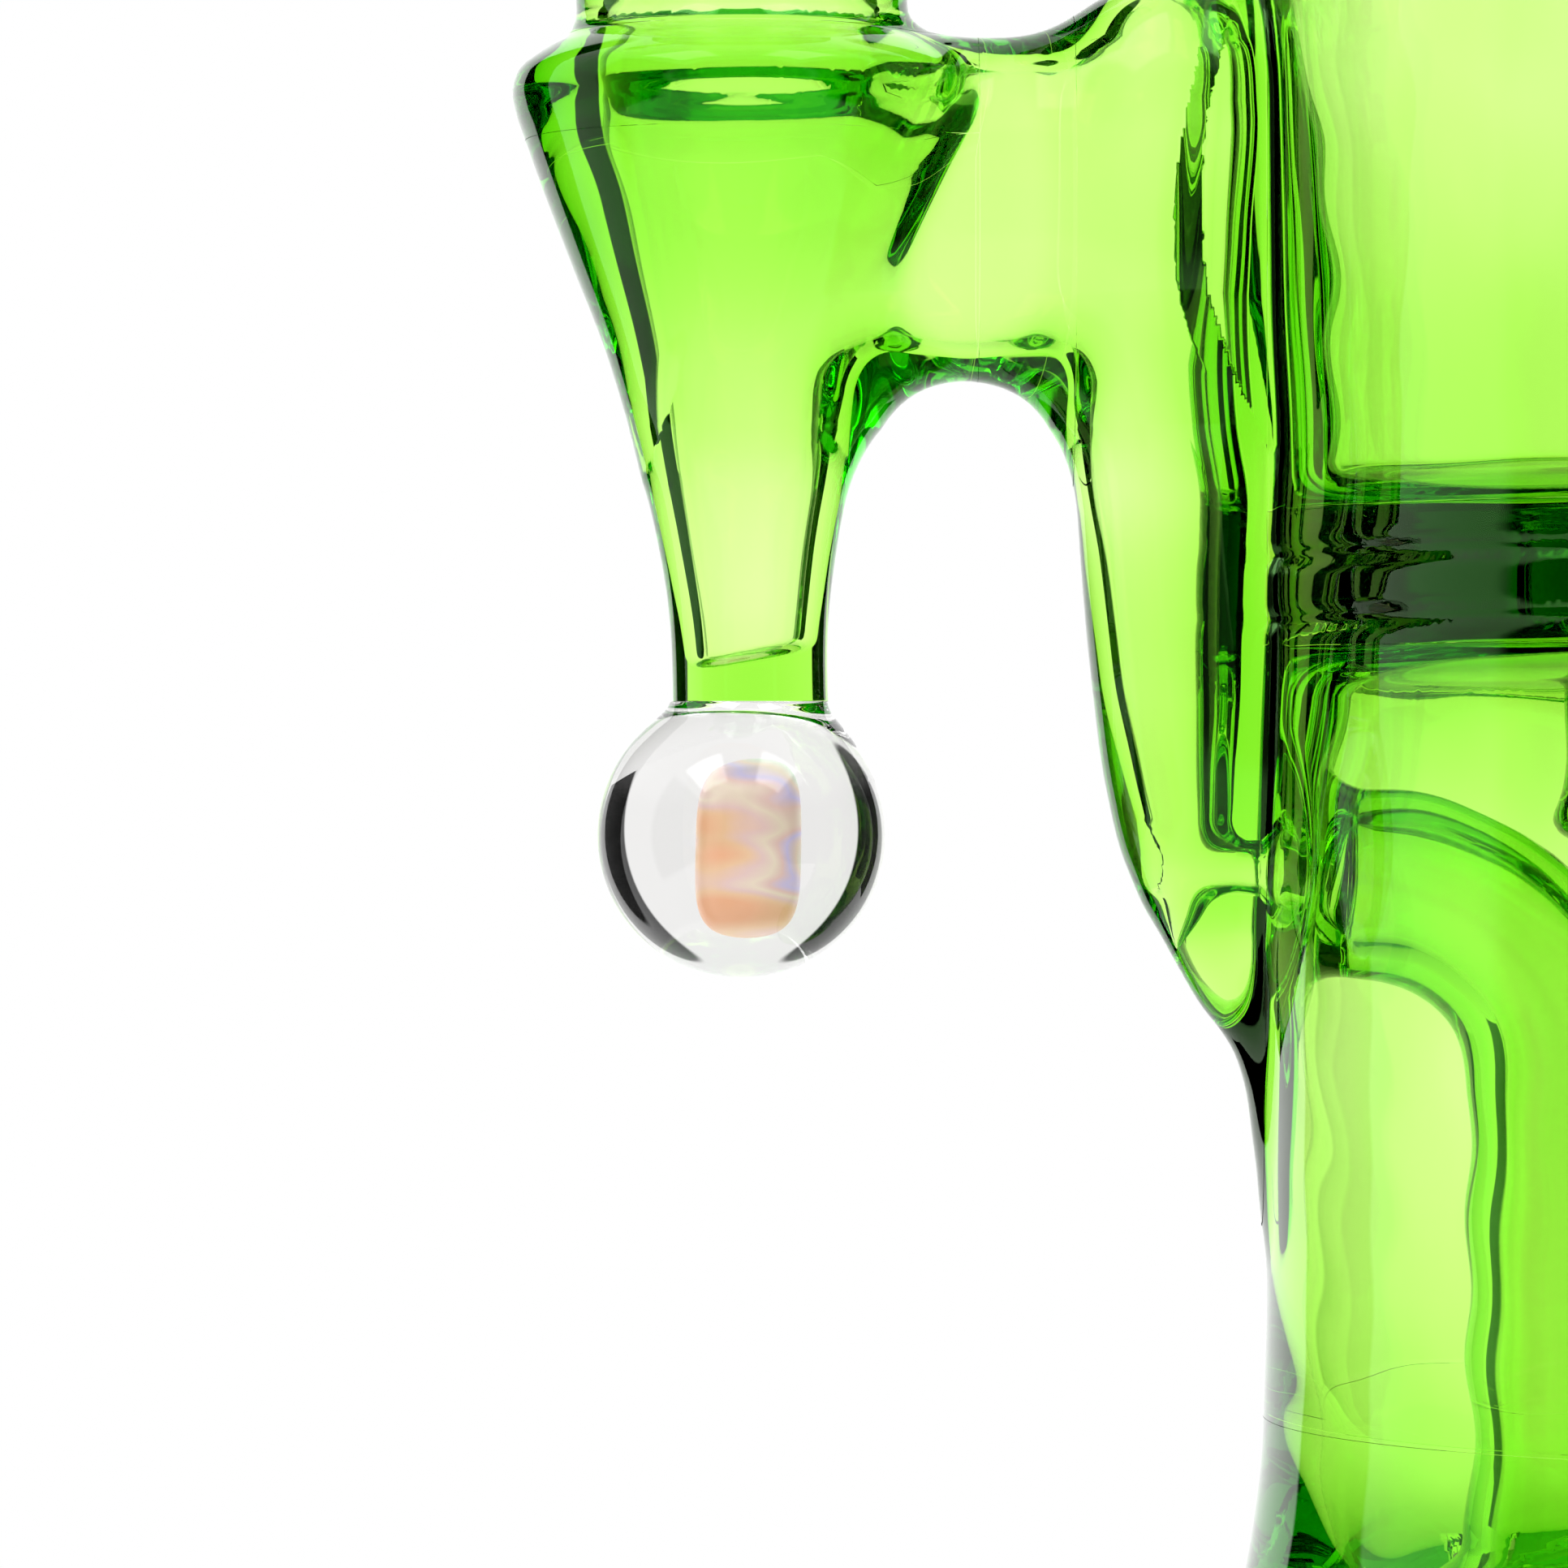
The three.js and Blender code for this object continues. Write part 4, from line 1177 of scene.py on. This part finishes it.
BOWL_OUTSIDE = [
    (cone_low[2] - 1, 6.36),
    (cone_low[2], 6.4),
    (cone_low[2] + 1, 6.4),
    (cone_low[2] + 6.5, 6.6),
    (cone_high[2] - 1.6, 6.92),
    (cone_high[2] - 0.2, 7.1),
    (seat_low[2] + 0.2, 8.4),
    (seat_low[2] + 0.9, 10.0),
    (seat_high[2] - 0.9, 10.1),
    (seat_high[2] + 0.1, 8.3),
    (bowl_low[2] + 1.2, 6.5),
    (bowl_floor - 2.4, 6.5),
    (bowl_floor + 0.12 * depth, 0.62 * bowl_wide),
    (bowl_floor + 0.45 * depth, 0.88 * bowl_wide),
    (bowl_floor + 0.85 * depth, bowl_wide - 0.05),
    (bowl_high[2] + 0.5, bowl_wide - 0.3),
]
BOWL_BORE = [
    (bowl_floor + 0.6, 5.0),
    (bowl_floor + 0.2 * depth, 0.62 * bowl_wide - 1.6),
    (bowl_floor + 0.45 * depth, 0.86 * bowl_wide - 2.0),
    (bowl_floor + 0.85 * depth, bowl_wide - 2.2),
    (bowl_high[2] + 1, bowl_wide - 2.3),
]
HORN = [  # along -X from the socket's axis, up from the bowl's floor, radius
    (0.78 * bowl_wide, 0.47 * depth, 2.5),
    (1.2 * bowl_wide, 0.43 * depth, 2.3),
    (1.65 * bowl_wide, 0.58 * depth, 2.2),
    (1.95 * bowl_wide, 0.86 * depth, 2.3),
    (2.11 * bowl_wide, 1.14 * depth, 2.5),
]


def bowl_glass(x, y, z):
    off = np.hypot(x - socket_x, y)
    shape = common(common(turned(off, z, BOWL_OUTSIDE), z - bowl_high[2], 1.6), cone_low[2] - z, 0.7)
    horn = None
    for (x0, z0, r0), (x1, z1, r1) in zip(HORN, HORN[1:]):
        a = np.array([socket_x - x0, 0, bowl_floor + z0])
        b = np.array([socket_x - x1, 0, bowl_floor + z1])
        way = b - a
        t = np.clip(((x - a[0]) * way[0] + (z - a[2]) * way[2]) / (way @ way), 0, 1)
        off_x, off_z = x - a[0] - t * way[0], z - a[2] - t * way[2]
        rod = np.sqrt(off_x**2 + y**2 + off_z**2) - r0 - t * (r1 - r0)
        horn = rod if horn is None else joined(horn, rod, 1.5)
    end = HORN[-1]
    ball_z = bowl_floor + end[1]
    ball = np.sqrt((x - socket_x + end[0]) ** 2 + y**2 + (z - ball_z) ** 2) - horn_ball
    shape = joined(shape, joined(horn, ball, 1.2), 2.0)
    lower = np.maximum(off - cone_bore, z - bowl_floor + 1.8)
    hole = np.maximum(off - draw_hole, np.abs(z - bowl_floor) - 3)
    bowl = np.maximum(turned(off, z, BOWL_BORE), bowl_floor + 0.6 - z)
    hollow = joined(joined(lower, hole, 0.8), bowl, 0.8)
    return common(shape, -hollow, 0.6)


def on_cone(x, y, z):
    off = np.hypot(x - socket_x, y)
    return ((z < cone_high[2]) & (z > cone_low[2] + 0.5) & (off > 5.2)).astype(float)


cone_head = cone_high[2] + HALF_WELD
seat_head = seat_high[2] + HALF_WELD
beside = 15  # past the bowl's cup on every side
near_x, far_x = socket_x - beside, socket_x + beside
horn_x = socket_x - bowl_wide - 0.6  # where the horn leaves the cup
horn_end = horn_low[0] - 2
for name, node, low, high, step in (
    ("bowl_cone", "bowl_ground_cone", (near_x, -beside, cone_low[2] - 2), (far_x, beside, cone_head), 0.45),
    ("bowl_ring", "bowl_ring", (near_x, -beside, cone_head), (far_x, beside, seat_head), 0.45),
    ("bowl_cup", "bowl_cup", (horn_x, -beside, seat_head), (far_x, beside, bowl_high[2] + 2), 0.55),
    ("bowl_horn", "bowl_horn", (horn_end, -8, bowl_floor - 1), (horn_x, 8, horn_high[2] + 2), 0.4),
):
    blown(f"{name}_glass", low, high, step, node, solid=bowl_glass, body="bowl", ground=on_cone)

# ---------------------------------------------------------------- screen
# A loose disc of clear glass with six holes and a knob, dropped into the bowl over its hole.
screen_radius = 0.5 * (screen_high[0] - screen_low[0])
knob_head = screen_high[2]
half_thick, knob_radius, hole_ring, hole_radius = 0.8, 1.25, 3.04, 0.7


def screen_glass(x, y, z):
    off = np.hypot(x - socket_x, y)
    disc = common(off - screen_radius, np.abs(z - screen_low[2] - half_thick) - half_thick, 0.7)
    knob = common(off - knob_radius, np.maximum(z - knob_head, screen_low[2] - z), 0.9)
    shape = joined(disc, knob, 1.2)
    for i in range(6):
        turn = math.pi * i / 3
        dx, dy = hole_ring * math.cos(turn), hole_ring * math.sin(turn)
        hole = np.hypot(x - socket_x - dx, y - dy) - hole_radius
        shape = common(shape, -hole, 0.3)
    return shape


blown(
    "bowl_screen_glass",
    (socket_x - 8, -8, screen_low[2] - 1),
    (socket_x + 8, 8, knob_head + 1),
    0.3,
    "bowl_screen",
    solid=screen_glass,
    body="screen",
    slot="clear_glass",
    material=clear_glass,
)

# ---------------------------------------------------------------- floor and light
# A pale sweep of lit matt card that brightens to plain white away from the vessel, in a white tent. Dark
# flags stand on either side, behind the vessel and before it, so that its edges read; a soft box hangs
# above the front pair on each side, and the front of the tent is dimmed.
sweep = 0.12
rings, spokes = 24, 96
points, faces = [(0.0, 0.0, 0.0)], []
for i in range(1, rings + 1):
    for k in range(spokes):
        a = 2 * math.pi * k / spokes
        r = sweep * (i / rings) ** 1.6
        points.append((r * math.cos(a), r * math.sin(a), 0.0))
for k in range(spokes):
    faces.append((0, 1 + k, 1 + (k + 1) % spokes))
for i in range(rings - 1):
    for k in range(spokes):
        m = (k + 1) % spokes
        a, b = 1 + i * spokes, 1 + (i + 1) * spokes
        faces.append((a + k, b + k, b + m, a + m))
mesh = bpy.data.meshes.new("floor")
mesh.from_pydata(points, [], faces)
floor = bpy.data.objects.new("floor", mesh)
bpy.context.scene.collection.objects.link(floor)
card = bpy.data.materials.new("matt white card")
tree = blank(card)
place = put(tree, "ShaderNodeTexCoord")
away = put(tree, "ShaderNodeVectorMath", links={0: place.outputs["Object"]}, operation="LENGTH")
lit = ranged(tree, away.outputs["Value"], 0.05, 0.112, 0.6, 1.0)
matt = put(tree, "ShaderNodeBsdfDiffuse", {"Color": linear("#dcdcda")})
path = put(tree, "ShaderNodeLightPath")
bright = blended(tree, path.outputs["Is Camera Ray"], 1.4, 1.0)
glow = put(tree, "ShaderNodeEmission", {"Color": plain}, {"Strength": bright})
both = put(
    tree,
    "ShaderNodeMixShader",
    links={0: lit, 1: matt.outputs["BSDF"], 2: glow.outputs["Emission"]},
)
put(tree, "ShaderNodeOutputMaterial", links={"Surface": both.outputs["Shader"]})
mesh.materials.append(card)

scene = bpy.context.scene
world = bpy.data.worlds.new("white tent")
scene.world = world
tree = blank(world)
place = put(tree, "ShaderNodeTexCoord")
split = put(tree, "ShaderNodeSeparateXYZ", links={"Vector": place.outputs["Generated"]})
# Directions in the tent: how far off straight behind the vessel, the slope up or down from level as it is
# seen from the front, and the height over level.
away = maths(tree, "ARCCOSINE", split.outputs["Y"])
slope = maths(tree, "ARCTAN2", split.outputs["Z"], maths(tree, "ABSOLUTE", split.outputs["X"]))
height = maths(tree, "ARCSINE", split.outputs["Z"])


def stretch(value, start, end, soft):
    """One inside a stretch of degrees and nothing outside it, with soft edges."""
    first, last = (
        ranged(tree, value, math.radians(at - soft), math.radians(at + soft)) for at in (start, end)
    )
    return maths(tree, "SUBTRACT", first, last)


def oval(middle, across, level, tall, soft=0.05):
    """A flag on each side, cut to an oval: its middle and half width, and its slope and half height."""
    squares = []
    for value, place, size in ((away, middle, across), (slope, level, tall)):
        off = maths(tree, "MULTIPLY_ADD", value, 1 / math.radians(size), -place / size)
        squares.append(maths(tree, "MULTIPLY", off, off))
    return ranged(tree, maths(tree, "ADD", *squares), 1 + 2 * soft, 1 - 2 * soft)


def oblong(width, tall):
    return maths(tree, "MULTIPLY", width, tall)


light = 1.45  # the tent's cloth
for shape, strength in (
    (oblong(stretch(away, 144, 190, 4), stretch(height, -9, 42, 4)), 0.22),  # the dim front
    (oval(54, 14.5, 14, 58), 0.0),
    (oblong(stretch(away, 104, 142, 3), stretch(slope, -30, 42, 3)), 0.0),
    (oblong(stretch(away, 108, 134, 2), stretch(slope, 50, 76, 2)), 7.0),  # the soft boxes
):
    light = blended(tree, shape, light, strength)
path = put(tree, "ShaderNodeLightPath")
seen = blended(tree, path.outputs["Is Camera Ray"], light, 1.0)
back = put(tree, "ShaderNodeBackground", {"Color": plain}, {"Strength": seen})
put(tree, "ShaderNodeOutputWorld", links={"Surface": back.outputs["Background"]})
scene.view_settings.view_transform = "Standard"
for name, value in (
    ("max_bounces", 40),
    ("transmission_bounces", 40),
    ("glossy_bounces", 16),
    ("transparent_max_bounces", 48),
    ("volume_bounces", 0),
    ("diffuse_bounces", 3),
):
    setattr(scene.cycles, name, value)

# ---------------------------------------------------------------- camera
# A long lens, level, on the socket and marble side of the vessel.
camera = bpy.data.objects.new("camera", bpy.data.cameras.new("camera"))
bpy.context.scene.collection.objects.link(camera)
scene.camera = camera
lens, film = 170, 36
view_wide = 84.74  # what it takes in at the socket's axis, in mm
camera.data.lens = lens
camera.data.clip_start = 0.01
camera.data.clip_end = 20
camera.location = (-55.96 * MM, -view_wide * MM * lens / film, 60.35 * MM)
camera.rotation_euler = (math.pi / 2, 0, 0)
